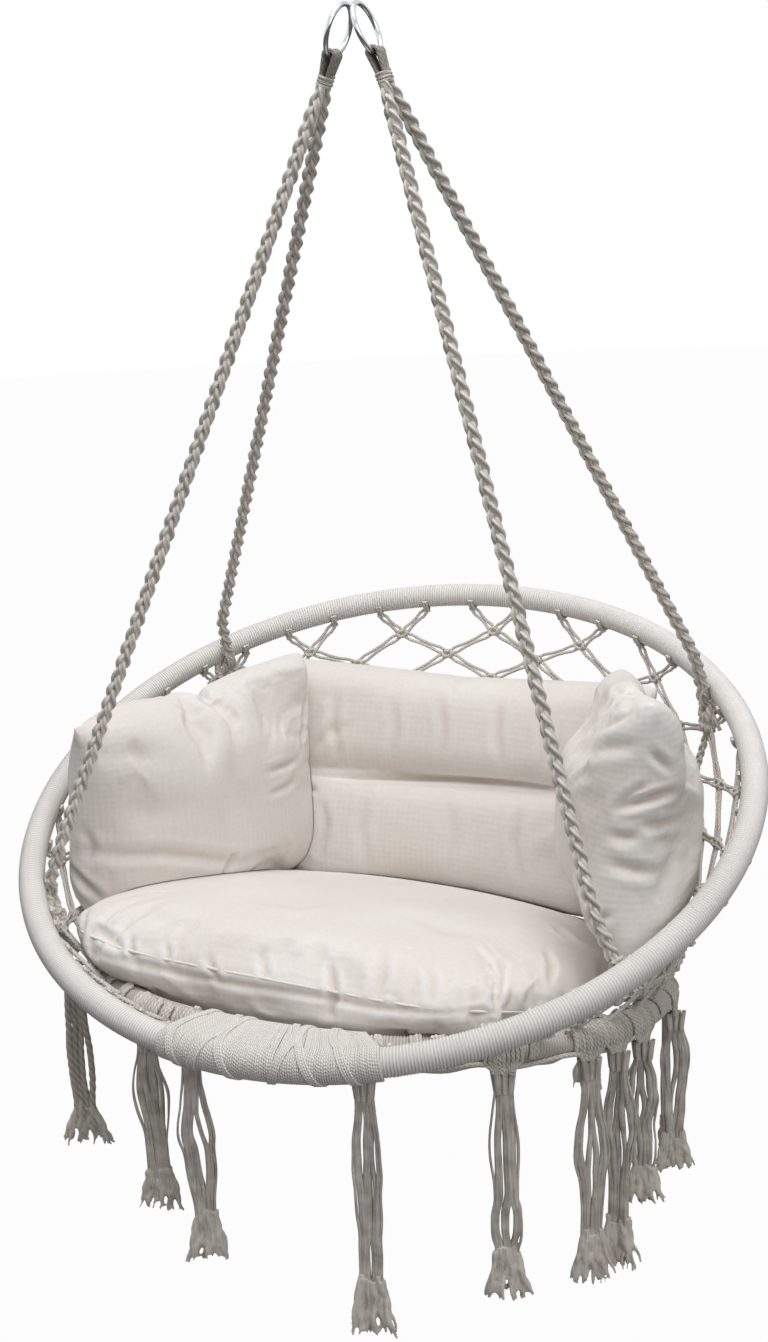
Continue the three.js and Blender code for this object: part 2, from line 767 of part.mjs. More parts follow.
function seat_net_point(across, back) {
  const radius = Math.hypot(across, back);
  const angle = Math.atan2(back, across) / degree;
  const sag = seat_net_sag * Math.max(1 - (radius / seat_radius) ** 2, 0);
  return seat_point(angle, radius, -sag);
}

// The seat net's cords run at 45 degrees to the chair's own left and right
function make_seat_net() {
  const knots = new Map();
  const reach = Math.floor(seat_radius / seat_net_pitch);
  const place_at = (column, row) => {
    const across = (column - row) * seat_net_pitch * Math.SQRT1_2;
    const back = (column + row) * seat_net_pitch * Math.SQRT1_2;
    return [across, back];
  };
  for (let column = -reach; column <= reach; column += 1) {
    for (let row = -reach; row <= reach; row += 1) {
      const [across, back] = place_at(column, row);
      if (Math.hypot(across, back) < seat_radius - seat_net_edge_margin) {
        knots.set(`${column},${row}`, {
          number: knots.size, place: seat_net_point(across, back), column, row, arms: [],
        });
      }
    }
  }
  for (const knot of knots.values()) {
    for (const [turn, fall] of [[1, 0], [0, 1], [-1, 0], [0, -1]]) {
      const other = knots.get(`${knot.column + turn},${knot.row + fall}`);
      const fixed = (turn ? knot.row : knot.column) * seat_net_pitch;
      const running = Math.sqrt(seat_radius ** 2 - fixed ** 2) / seat_net_pitch;
      const edge = turn ? [turn * running, knot.row] : [knot.column, fall * running];
      const [across, back] = place_at(...edge);
      const end_angle = Math.atan2(back, across) / degree;
      const lashed = in_lashing(end_angle);
      const clear_radius = lashed ? lashing_outer_radius + seat_gap : clear_hoop_radius;
      const end = end_on_hoop(seat_point, end_angle, seat_point(0, 0, -2 * seat_net_sag), clear_radius);
      const way = way_between(knot.place, other ? other.place : end.place);
      knot.arms.push({ way, knot: other, end: other ? undefined : end });
    }
  }
  const net = net_form([...knots.values()], seat_net_cord_diameter, seat_net_knot_thickness);
  add_piece('seat_net', net, material.net);
}

make_seat_net();

// Tassels

function tassel_knot(middle) {
  const knot = new THREE.SphereGeometry(tassel_knot_diameter / 2, 6, 4);
  knot.rotateX(Math.PI / 2);
  knot.translate(middle.x, middle.y, middle.z);
  return solid_of(knot);
}

// Moves a tassel towards the winding or lashing that carries it, until its knot almost touches
function seated_pivot(place) {
  const pivot = tassel_pivot(place);
  if (place.on_tail) {
    return pivot;
  }
  const carrier = in_lashing(place.angle) ? lashing_solid : seat_hoop_solid;
  const way = in_lashing(place.angle) ? vector(0, 0, 1) : way_between(pivot, seat_point(place.angle));
  for (let pass = 0; pass < 4; pass += 1) {
    const gap = tassel_knot(pivot).minGap(carrier, tassel_knot_diameter);
    pivot.addScaledVector(way, gap - seat_gap);
  }
  return pivot;
}

function make_tassel(place, number) {
  const middle = seated_pivot(place);
  const length = longest_tassel * place.length_share;
  const pieces = [tassel_knot(middle)];
  for (let strand = 0; strand < tassel_strands; strand += 1) {
    const turn = 2 * Math.PI * (strand + number / 2) / tassel_strands;
    const shorter = tassel_uneven_length * ((strand * 2 + number) % 3);
    const side = vector(Math.cos(turn), Math.sin(turn), 0);
    const start = middle.clone().addScaledVector(side, tassel_knot_diameter / 2 * tassel_root_share);
    const waist = middle.clone().addScaledVector(side, tassel_spread * tassel_waist_spread_share);
    waist.z -= length * tassel_waist_drop_share;
    const end = middle.clone().addScaledVector(side, tassel_spread);
    end.z -= length - shorter;
    const radius_at = (share) => (share < 1 ? tassel_strand_diameter : tassel_frayed_diameter) / 2;
    pieces.push(solid_of(swept_tube([start, waist, end], radius_at, 3)));
  }
  const label = String(number + 1).padStart(2, '0');
  add_piece(`tassel_${label}`, geometry_of(union_of(pieces)), material.fringe);
  console.log(`tassel_${label} pivot`, middle.x.toFixed(2), middle.y.toFixed(2), middle.z.toFixed(2));
}

const seat_hoop_solid = solid_of(group.getObjectByName('seat_hoop_winding').geometry);
const lashing_solid = solid_of(group.getObjectByName('front_lashing').geometry);
tassel_places.forEach(make_tassel);

// Cushions

// Rows of points over a pillow's face and back share their edge, so the form is closed
function closed_pillow(columns, heights, place_of) {
  const rows = heights.length - 1;
  const positions = [];
  const numbers = new Map();
  const number_of = (column, row, face) => {
    const edge = column === 0 || column === columns || row === 0 || row === rows;
    const key = `${column},${row},${edge ? 0 : face}`;
    if (!numbers.has(key)) {
      const across = Math.sin((column / columns - 0.5) * Math.PI);
      const point = place_of(across, heights[row], edge ? 0 : face);
      numbers.set(key, positions.length / 3);
      positions.push(point.x, point.y, point.z);
    }
    return numbers.get(key);
  };
  const index = [];
  for (const face of [1, -1]) {
    for (let column = 0; column < columns; column += 1) {
      for (let row = 0; row < rows; row += 1) {
        const corners = [
          number_of(column, row, face), number_of(column + 1, row, face),
          number_of(column + 1, row + 1, face), number_of(column, row + 1, face),
        ];
        if (face < 0) {
          corners.reverse();
        }
        index.push(corners[0], corners[1], corners[2], corners[0], corners[2], corners[3]);
      }
    }
  }
  const geometry = new THREE.BufferGeometry();
  geometry.setAttribute('position', new THREE.Float32BufferAttribute(positions, 3));
  geometry.setIndex(index);
  return geometry;
}

// Heights from one seam to the next, closer together near the seams
function heights_between(low, high, count) {
  const heights = [];
  for (let step = 0; step <= count; step += 1) {
    heights.push(low + (high - low) * (1 - Math.cos(Math.PI * step / count)) / 2);
  }
  return heights;
}

const edge_pull_share = 0.07;

// A pillow's thickness between its seams, from 0 at the edge to 1 at the middle
function crown(share) {
  return Math.max(1 - share ** 4, 0) ** 0.55;
}

function pillow_form(half_width, half_height, half_thickness, grow, thickness_of) {
  return (across, up, face) => {
    const pulled_width = (half_width + grow) * (1 - edge_pull_share * (1 - up ** 2));
    const pulled_height = (half_height + grow) * (1 - edge_pull_share * (1 - across ** 2));
    const thickness = face * (half_thickness + grow) * thickness_of(across, up);
    return vector(across * pulled_width, up * pulled_height, thickness);
  };
}

// The seat cushion is round behind and squarer at its front corners
function seat_cushion_form(grow) {
  const rings = 5;
  const spokes = 20;
  const positions = [];
  const index = [];
  const rim_start = 0;
  const rim_at = (spoke) => {
    const angle = 2 * Math.PI * spoke / spokes;
    const in_front = Math.sin(angle) < 0;
    const power = in_front ? seat_cushion_front_squareness : seat_cushion_back_squareness;
    const half_width = seat_cushion_half_width + grow;
    const half_depth = (in_front ? seat_cushion_half_front : seat_cushion_half_back) + grow;
    const reach = (Math.abs(Math.cos(angle)) ** power + Math.abs(Math.sin(angle)) ** power) ** (-1 / power);
    return vector(half_width * reach * Math.cos(angle), half_depth * reach * Math.sin(angle), 0);
  };
  for (let spoke = 0; spoke < spokes; spoke += 1) {
    const rim = rim_at(spoke);
    positions.push(rim.x, rim.y, 0);
  }
  const face_rings = [];
  for (const face of [1, -1]) {
    const height = face > 0 ? seat_cushion_top_crown : seat_cushion_bottom_crown;
    const ring_starts = [rim_start];
    for (let ring = 1; ring < rings; ring += 1) {
      ring_starts.push(positions.length / 3);
      const share = Math.cos(ring / rings * Math.PI / 2);
      for (let spoke = 0; spoke < spokes; spoke += 1) {
        const rim = rim_at(spoke);
        positions.push(rim.x * share, rim.y * share, face * (height + grow) * crown(share));
      }
    }
    const pole = positions.length / 3;
    positions.push(0, 0, face * (height + grow));
    face_rings.push({ face, ring_starts, pole });
  }
  for (const { face, ring_starts, pole } of face_rings) {
    const triangle = (one, two, three) => index.push(one, ...(face > 0 ? [two, three] : [three, two]));
    for (let ring = 0; ring + 1 < ring_starts.length; ring += 1) {
      for (let spoke = 0; spoke < spokes; spoke += 1) {
        const next = (spoke + 1) % spokes;
        triangle(ring_starts[ring] + spoke, ring_starts[ring] + next, ring_starts[ring + 1] + next);
        triangle(ring_starts[ring] + spoke, ring_starts[ring + 1] + next, ring_starts[ring + 1] + spoke);
      }
    }
    const inner = ring_starts[ring_starts.length - 1];
    for (let spoke = 0; spoke < spokes; spoke += 1) {
      triangle(inner + spoke, inner + (spoke + 1) % spokes, pole);
    }
  }
  const geometry = new THREE.BufferGeometry();
  geometry.setAttribute('position', new THREE.Float32BufferAttribute(positions, 3));
  geometry.setIndex(index);
  geometry.rotateY(seat_cushion_roll * degree);
  geometry.rotateX(seat_cushion_tilt * degree);
  const hoop_centre = seat_point(0, 0);
  geometry.translate(
    -seat_cushion_leftward, hoop_centre.y - seat_cushion_ahead, hoop_centre.z + seat_cushion_rise,
  );
  return solid_of(geometry);
}

function side_cushion_form(place, grow) {
  const thickness_of = (across, up) => crown(across) * crown(up);
  const form = pillow_form(
    side_cushion_half_length, side_cushion_half_height, side_cushion_half_thickness, grow, thickness_of,
  );
  const geometry = closed_pillow(10, heights_between(-1, 1, 8), form);
  geometry.rotateX(Math.PI / 2);
  geometry.rotateY(place.roll * degree);
  geometry.rotateX(-place.lean * degree);
  geometry.rotateZ(-place.side * (90 - place.turn) * degree);
  geometry.translate(
    place.side * upper_radius * place.out_share, upper_radius * place.behind_share,
    -hoop_drop - upper_radius * place.drop_share,
  );
  return solid_of(geometry);
}

function back_cushion_form(grow) {
  const seam = back_cushion_seam_height / back_cushion_half_height;
  const tier_thickness = (up) => {
    const span = up > seam ? 1 - seam : 1 + seam;
    const from_seam = 2 * Math.abs(up - seam) / span - 1;
    const full = crown(from_seam);
    return from_seam < 0 ? seam_thickness_share + (1 - seam_thickness_share) * full : full;
  };
  const thickness_of = (across, up) => crown(across) * tier_thickness(up);
  const flat_form = pillow_form(
    back_cushion_half_width, back_cushion_half_height, back_cushion_half_thickness, grow, thickness_of,
  );
  const form = (across, up, face) => {
    const point = flat_form(across, up, face);
    point.z += back_cushion_bend * across ** 2;
    return point;
  };
  const heights = [...heights_between(-1, seam, 5), ...heights_between(seam, 1, 5).slice(1)];
  const geometry = closed_pillow(6, heights, form);
  geometry.rotateX(Math.PI / 2);
  geometry.rotateX(-back_cushion_lean * degree);
  geometry.translate(0, upper_hoop_depth - back_cushion_inset, -hoop_drop - back_cushion_drop);
  return solid_of(geometry);
}

// The cushion rests on a bowl that lies on the seat net's cords
function seat_bowl() {
  const cord_top = seat_net_knot_thickness / 2 + seat_gap;
  const profile = [new THREE.Vector2(0, -2 * seat_net_sag - seat_radius)];
  profile.push(new THREE.Vector2(seat_radius, -2 * seat_net_sag - seat_radius));
  const steps = 8;
  for (let step = 0; step <= steps; step += 1) {
    const radius = seat_radius * (1 - step / steps);
    profile.push(new THREE.Vector2(radius, cord_top - seat_net_sag * (1 - (radius / seat_radius) ** 2)));
  }
  const geometry = new THREE.LatheGeometry(profile, 32);
  geometry.rotateX(Math.PI / 2);
  geometry.rotateX(seat_hoop_tilt * degree);
  geometry.translate(0, -seat_hoop_forward, -hoop_drop - seat_hoop_drop);
  return solid_of(geometry);
}

// The side net and the space outside it, which a cushion leaning on the net stays clear of
function outside_net() {
  const positions = [];
  const index = [];
  for (let step = 0; step < hoop_steps; step += 1) {
    const angle = 360 * step / hoop_steps;
    const along = tangent_at(upper_point, angle);
    const down = way_between(upper_point(angle), seat_point(angle));
    const inward = along.clone().cross(down).normalize();
    const clearance = net_knot_thickness / 2 + net_cushion_gap;
    for (const [depth, rise] of [[0, 1], [1, 1], [1, -outside_net_reach], [0, -outside_net_reach]]) {
      const edge = depth ? net_gap(angle) - hoop_radius : hoop_radius;
      const point = net_point(angle, edge).addScaledVector(inward, rise * clearance);
      positions.push(point.x, point.y, point.z);
    }
    const there = 4 * ((step + 1) % hoop_steps);
    for (let corner = 0; corner < 4; corner += 1) {
      const next = (corner + 1) % 4;
      index.push(4 * step + corner, there + next, 4 * step + next);
      index.push(4 * step + corner, there + corner, there + next);
    }
  }
  const geometry = new THREE.BufferGeometry();
  geometry.setAttribute('position', new THREE.Float32BufferAttribute(positions, 3));
  geometry.setIndex(index);
  return solid_of(geometry);
}

let seat_cushion = seat_cushion_form(0);
for (const space of [seat_bowl(), seat_hoop_space, lashing_at_seat, upper_hoop_space, lashing_at_upper]) {
  seat_cushion = seat_cushion.subtract(space);
}
add_piece('seat_cushion', geometry_of(seat_cushion), material.cushion);
const seat_cushion_space = seat_cushion_form(seat_gap);
const side_cushion_spaces = [];
const net_side = outside_net();
for (const place of side_cushion_places) {
  const cushion = side_cushion_form(place, 0).subtract(seat_cushion_space).subtract(net_side)
    .subtract(upper_hoop_space);
  add_piece(`side_cushion_${place.label}`, geometry_of(cushion), material.cushion);
  side_cushion_spaces.push(side_cushion_form(place, seat_gap));
}
let back_cushion = back_cushion_form(0).subtract(seat_cushion_space).subtract(net_side);
for (const space of side_cushion_spaces) {
  back_cushion = back_cushion.subtract(space);
}
add_piece('back_cushion', geometry_of(back_cushion), material.cushion);

export default group;
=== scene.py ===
# A hanging hammock chair: two cord-wound hoops joined by a knotted net, hung on four braided
# ropes from two steel rings, with fringe tassels below and four canvas cushions.
# Metres, in the part's own frame: X to the right, Y to the back, Z up, the hanging point at 0.
import json
import math

import bpy
import numpy as np
from mathutils import Matrix, Vector
from mathutils.bvhtree import BVHTree


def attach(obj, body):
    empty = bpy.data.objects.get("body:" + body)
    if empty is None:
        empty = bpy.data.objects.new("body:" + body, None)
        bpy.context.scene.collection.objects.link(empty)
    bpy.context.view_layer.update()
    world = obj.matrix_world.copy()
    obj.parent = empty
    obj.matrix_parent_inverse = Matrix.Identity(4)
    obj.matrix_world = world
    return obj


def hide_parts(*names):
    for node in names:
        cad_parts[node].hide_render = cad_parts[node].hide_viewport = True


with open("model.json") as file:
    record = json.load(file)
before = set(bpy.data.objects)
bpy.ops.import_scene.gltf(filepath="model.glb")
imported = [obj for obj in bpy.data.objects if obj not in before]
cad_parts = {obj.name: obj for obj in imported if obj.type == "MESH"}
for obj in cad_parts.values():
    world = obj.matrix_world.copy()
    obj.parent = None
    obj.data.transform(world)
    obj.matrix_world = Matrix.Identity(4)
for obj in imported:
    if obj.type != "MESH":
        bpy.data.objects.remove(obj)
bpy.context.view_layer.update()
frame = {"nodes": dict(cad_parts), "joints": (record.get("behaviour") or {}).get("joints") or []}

# Camera: stands a little right of the chair's front and looks down on it by about 16 degrees.
# It was fitted to both hoops, the rings and the rope ends in the photograph.
camera_place = Vector((0.686, -1.55002, -0.15898))
camera_right = Vector((0.919272, 0.39143, -0.041495))
camera_up = Vector((-0.072784, 0.272634, 0.959361))
camera_back = camera_right.cross(camera_up)
camera_data = bpy.data.cameras.new("camera")
camera_data.sensor_fit = "VERTICAL"
camera_data.sensor_height = 24.0
camera_data.lens = 30.12
camera = bpy.data.objects.new("camera", camera_data)
camera.matrix_world = Matrix.Translation(camera_place) @ Matrix(
    (camera_right, camera_up, camera_back)
).transposed().to_4x4()
bpy.context.scene.collection.objects.link(camera)
bpy.context.scene.camera = camera
bpy.context.scene.view_settings.view_transform = "Standard"


def linear(text):
    """A colour written as sRGB hex, for a shader's socket."""
    parts = [int(text[i : i + 2], 16) / 255 for i in (1, 3, 5)]
    return [c / 12.92 if c <= 0.04045 else ((c + 0.055) / 1.055) ** 2.4 for c in parts] + [1.0]


def add_node(tree, kind, links=None, **settings):
    """Adds one node. A link is from a socket, from a node's first output, or a plain number. A
    setting that the node itself doesn't have is the value of the socket with that name."""
    node = tree.nodes.new(kind)
    for key, value in settings.items():
        if hasattr(node, key):
            setattr(node, key, value)
        else:
            node.inputs[key.replace("_", " ")].default_value = value
    for socket, source in (links or {}).items():
        if isinstance(source, (int, float)):
            node.inputs[socket].default_value = source
        else:
            tree.links.new(getattr(source, "outputs", [source])[0], node.inputs[socket])
    return node


def blank_material(name):
    material = bpy.data.materials.new(name)
    material.use_nodes = True
    material.node_tree.nodes.clear()
    return material, material.node_tree


# Floor and light: a white studio floor well below the chair, a wide soft lamp overhead, a weak
# one from each side, and an even white surround.
floor_drop = 1.72
floor_radius = 14
floor_sides = 96
floor_white_share = 0.975
world = bpy.data.worlds.new("white studio")
bpy.context.scene.world = world
world.use_nodes = True
sky = world.node_tree
sky.nodes.clear()
path = add_node(sky, "ShaderNodeLightPath")
seen = path.outputs["Is Camera Ray"]
for ray in ("Is Glossy Ray", "Is Transmission Ray"):
    seen = add_node(sky, "ShaderNodeMath", {0: seen, 1: path.outputs[ray]}, operation="MAXIMUM").outputs[0]
even = add_node(sky, "ShaderNodeBackground", Color=linear("#FDFEFF"), Strength=0.34)
white = add_node(sky, "ShaderNodeBackground", Color=linear("#FFFFFF"), Strength=1.0)
mixed = add_node(sky, "ShaderNodeMixShader", {0: seen, 1: even, 2: white})
add_node(sky, "ShaderNodeOutputWorld", {"Surface": mixed})

floor_mesh = bpy.data.meshes.new("floor")
rim = [(floor_radius * math.cos(turn), floor_radius * math.sin(turn), -floor_drop)
       for turn in np.linspace(0, 2 * math.pi, floor_sides + 1)[:-1]]
floor_mesh.from_pydata(rim, [], [list(range(floor_sides))])
floor = bpy.data.objects.new("floor", floor_mesh)
bpy.context.scene.collection.objects.link(floor)
floor_paint, tree = blank_material("matt white studio floor")
path = add_node(tree, "ShaderNodeLightPath")
lit = add_node(tree, "ShaderNodeBsdfPrincipled", Base_Color=linear("#73716F"), Roughness=0.9)
glow = add_node(tree, "ShaderNodeEmission", Color=linear("#FFFFFF"), Strength=1.0)
share = add_node(tree, "ShaderNodeMath", {0: path.outputs["Is Camera Ray"], 1: floor_white_share},
                 operation="MULTIPLY")
mixed = add_node(tree, "ShaderNodeMixShader", {0: share, 1: lit, 2: glow})
add_node(tree, "ShaderNodeOutputMaterial", {"Surface": mixed})
floor_mesh.materials.append(floor_paint)

lamp_aim = Vector((0, 0, -0.85))
for label, place, power, size in (
    ("top lamp", (0.1, -0.3, 2.4), 82, 2.4),
    ("right lamp", (2.5, -1.7, 0.7), 24, 2.2),
    ("left lamp", (-2.6, -1.2, 0.8), 8, 2.2),
):
    lamp_data = bpy.data.lights.new(label, "AREA")
    lamp_data.energy = power
    lamp_data.size = size
    lamp = bpy.data.objects.new(label, lamp_data)
    lamp.location = place
    lamp.rotation_euler = (lamp_aim - Vector(place)).to_track_quat("-Z", "Y").to_euler()
    bpy.context.scene.collection.objects.link(lamp)


# Rings: two round steel wire rings, butt welded and chrome plated, 54 mm across.
# The wire is 5.2 mm thick. They lean apart by 20 degrees under the ropes' pull.
ring_wire_radius = 0.0026
ring_radius = 0.0244
ring_lean = math.radians(20)
ring_spacing = 0.0126


def cord_tree():
    """Geometry nodes that lay a twisted cord along each chain of edges. The chain's points carry
    the cord's radius (thick), the length run so far (run) and a shade of its own (tone)."""
    tree = bpy.data.node_groups.new("cord along a path", "GeometryNodeTree")
    for label, kind in (("Geometry", "Geometry"), ("Sides", "Int"), ("Plies", "Float"),
                        ("Ply depth", "Float"), ("Ply pitch", "Float"), ("Material", "Material")):
        tree.interface.new_socket(label, in_out="INPUT", socket_type=f"NodeSocket{kind}")
    tree.interface.new_socket("Geometry", in_out="OUTPUT", socket_type="NodeSocketGeometry")
    asked = add_node(tree, "NodeGroupInput").outputs
    chains = add_node(tree, "GeometryNodeMeshToCurve", {"Mesh": asked["Geometry"]})
    circle = add_node(tree, "GeometryNodeCurvePrimitiveCircle", {"Resolution": asked["Sides"]}, Radius=1.0)
    around = add_node(tree, "GeometryNodeSplineParameter")
    whole = add_node(tree, "ShaderNodeMath", {0: around.outputs["Factor"], 1: 2 * math.pi},
                     operation="MULTIPLY")
    turns = add_node(tree, "ShaderNodeMath", {0: whole, 1: asked["Plies"]}, operation="MULTIPLY")
    profile = circle
    waves = {}
    for label, operation in (("ply_sine", "SINE"), ("ply_cosine", "COSINE")):
        wave = add_node(tree, "ShaderNodeMath", {0: turns}, operation=operation)
        profile = add_node(tree, "GeometryNodeStoreNamedAttribute", {"Geometry": profile, "Value": wave},
                           data_type="FLOAT", domain="POINT", Name=label)
        waves[label] = add_node(tree, "GeometryNodeInputNamedAttribute", data_type="FLOAT", Name=label)
    thick = add_node(tree, "GeometryNodeInputNamedAttribute", data_type="FLOAT", Name="thick")
    cord = add_node(tree, "GeometryNodeCurveToMesh",
                    {"Curve": chains, "Profile Curve": profile, "Scale": thick}, Fill_Caps=True)
    run = add_node(tree, "GeometryNodeInputNamedAttribute", data_type="FLOAT", Name="run")
    laps = add_node(tree, "ShaderNodeMath", {0: run, 1: asked["Ply pitch"]}, operation="DIVIDE")
    phase = add_node(tree, "ShaderNodeMath", {0: laps, 1: 2 * math.pi}, operation="MULTIPLY")
    halves = []
    for label, operation in (("ply_sine", "COSINE"), ("ply_cosine", "SINE")):
        swing = add_node(tree, "ShaderNodeMath", {0: phase}, operation=operation)
        halves.append(add_node(tree, "ShaderNodeMath", {0: swing, 1: waves[label]}, operation="MULTIPLY"))
    height = add_node(tree, "ShaderNodeMath", {0: halves[0], 1: halves[1]}, operation="ADD")
    reach = add_node(tree, "ShaderNodeMath", {0: height, 1: asked["Ply depth"]}, operation="MULTIPLY")
    outward = add_node(tree, "GeometryNodeInputNormal")
    offset = add_node(tree, "ShaderNodeVectorMath", {0: outward, "Scale": reach}, operation="SCALE")
    ribbed = add_node(tree, "GeometryNodeSetPosition", {"Geometry": cord, "Offset": offset})
    smooth = add_node(tree, "GeometryNodeSetShadeSmooth", {0: ribbed})
    real = add_node(tree, "GeometryNodeRealizeInstances", {"Geometry": smooth})
    painted = add_node(tree, "GeometryNodeSetMaterial", {"Geometry": real, "Material": asked["Material"]})
    add_node(tree, "NodeGroupOutput", {0: painted})
    return tree


cord_nodes = cord_tree()


def new_piece(name, mesh):
    piece = bpy.data.objects.new(name, mesh)
    bpy.context.scene.collection.objects.link(piece)
    return piece


def settle(piece):
    """Turns what the piece's modifiers make into its plain mesh and takes them off."""
    bpy.context.view_layer.update()
    depsgraph = bpy.context.evaluated_depsgraph_get()
    made = bpy.data.meshes.new_from_object(
        piece.evaluated_get(depsgraph), preserve_all_data_layers=True, depsgraph=depsgraph
    )
    piece.modifiers.clear()
    piece.data = made
    return piece


def relax(piece, times, factor=0.5):
    smooth = piece.modifiers.new("relax", "SMOOTH")
    smooth.factor = factor
    smooth.iterations = times
    return settle(piece)


def lay_cords(name, paths, material, sides=6, plies=3, ply_depth=0.0, ply_pitch=0.01, closed=False, seed=1):
    """One piece from many cords. A path is its points and its radius, one or one for each point."""
    shades = np.random.default_rng(seed)
    points, thick, run, tone, edges = [], [], [], [], []
    start = 0
    for line, radius in paths:
        line = np.asarray(line, float)
        count = len(line)
        steps = np.linalg.norm(np.diff(line, axis=0), axis=1)
        points.append(line)
        thick.append(np.broadcast_to(radius, count))
        run.append(np.concatenate([[0], np.cumsum(steps)]) + shades.uniform(0, 1))
        tone.append(np.full(count, shades.uniform(0, 1)))
        edges += [(start + i, start + i + 1) for i in range(count - 1)]
        if closed:
            edges.append((start + count - 1, start))
        start += count
    mesh = bpy.data.meshes.new(name)
    mesh.from_pydata(np.concatenate(points).tolist(), edges, [])
    for label, values in (("thick", thick), ("run", run), ("tone", tone)):
        mesh.attributes.new(label, "FLOAT", "POINT").data.foreach_set("value", np.concatenate(values))
    piece = new_piece(name, mesh)
    modifier = piece.modifiers.new("cord", "NODES")
    modifier.node_group = cord_nodes
    wanted = {"Sides": sides, "Plies": float(plies), "Ply depth": ply_depth, "Ply pitch": ply_pitch,
              "Material": material}
    for socket in cord_nodes.interface.items_tree:
        if socket.name in wanted:
            modifier[socket.identifier] = wanted[socket.name]
    return settle(piece)


# Chrome on steel wire: a bright mirror with faint wear in patches all over
chrome, tree = blank_material("chrome plated steel")
where = add_node(tree, "ShaderNodeTexCoord")
wear = add_node(tree, "ShaderNodeTexNoise", {"Vector": where.outputs["Object"]}, Scale=420.0, Detail=4.0)
gloss = add_node(tree, "ShaderNodeMapRange", {"Value": wear.outputs["Fac"]}, To_Min=0.06, To_Max=0.24)
tint = add_node(tree, "ShaderNodeValToRGB", {"Fac": wear.outputs["Fac"]})
tint.color_ramp.elements[0].color = linear("#B9BCC0")
tint.color_ramp.elements[1].color = linear("#DADCDE")
bumps = add_node(tree, "ShaderNodeBump", {"Height": wear.outputs["Fac"]}, Strength=0.05, Distance=0.0003)
steel = add_node(tree, "ShaderNodeBsdfPrincipled",
                 {"Base Color": tint, "Roughness": gloss, "Normal": bumps}, Metallic=1.0)
add_node(tree, "ShaderNodeOutputMaterial", {"Surface": steel})


def ring_point(side, share):
    """The way a ring hangs, and a point that far down it, from its top at 0 to its foot at 2."""
    pull = np.array([side * math.sin(ring_lean), 0, -math.cos(ring_lean)])
    return pull, np.array([side * ring_spacing / 2, 0, ring_wire_radius]) + pull * share * ring_radius


for label, side in (("left", -1), ("right", 1)):
    pull, middle = ring_point(side, 1)
    turn = np.linspace(0, 2 * math.pi, 97)[:-1]
    loop = middle + ring_radius * (np.outer(np.cos(turn), pull) + np.outer(np.sin(turn), [0, 1, 0]))
    ring = lay_cords(f"steel_ring_{label}", [(loop, ring_wire_radius)], chrome, sides=20, closed=True)
    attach(ring, "rings")
    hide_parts(f"ring_{label}")


# Rope eyes: cords of the rope laid side by side over each ring's wire as a flat band, about
# 20 mm wide, bound below it with a few turns of the same cord. Twisted cotton, grey-beige.
eye_cords = 6
eye_cord_radius = 0.0017
eye_width = 0.0165
eye_gap = 0.0003
eye_bend_steps = 10
eye_leg_steps = 12
neck_drop = 0.030
neck_width = 0.0105
neck_half_depth = 0.0022
collar_drop = 0.0175
collar_turns = 3
collar_turn_steps = 28
collar_pitch = 0.0036
collar_half_depth = 0.0062
collar_half_width = 0.0088
collar_cord_radius = 0.0019
# Room for the wire, which slides along under the outer cords when the chair swings
eye_slide = 0.0009


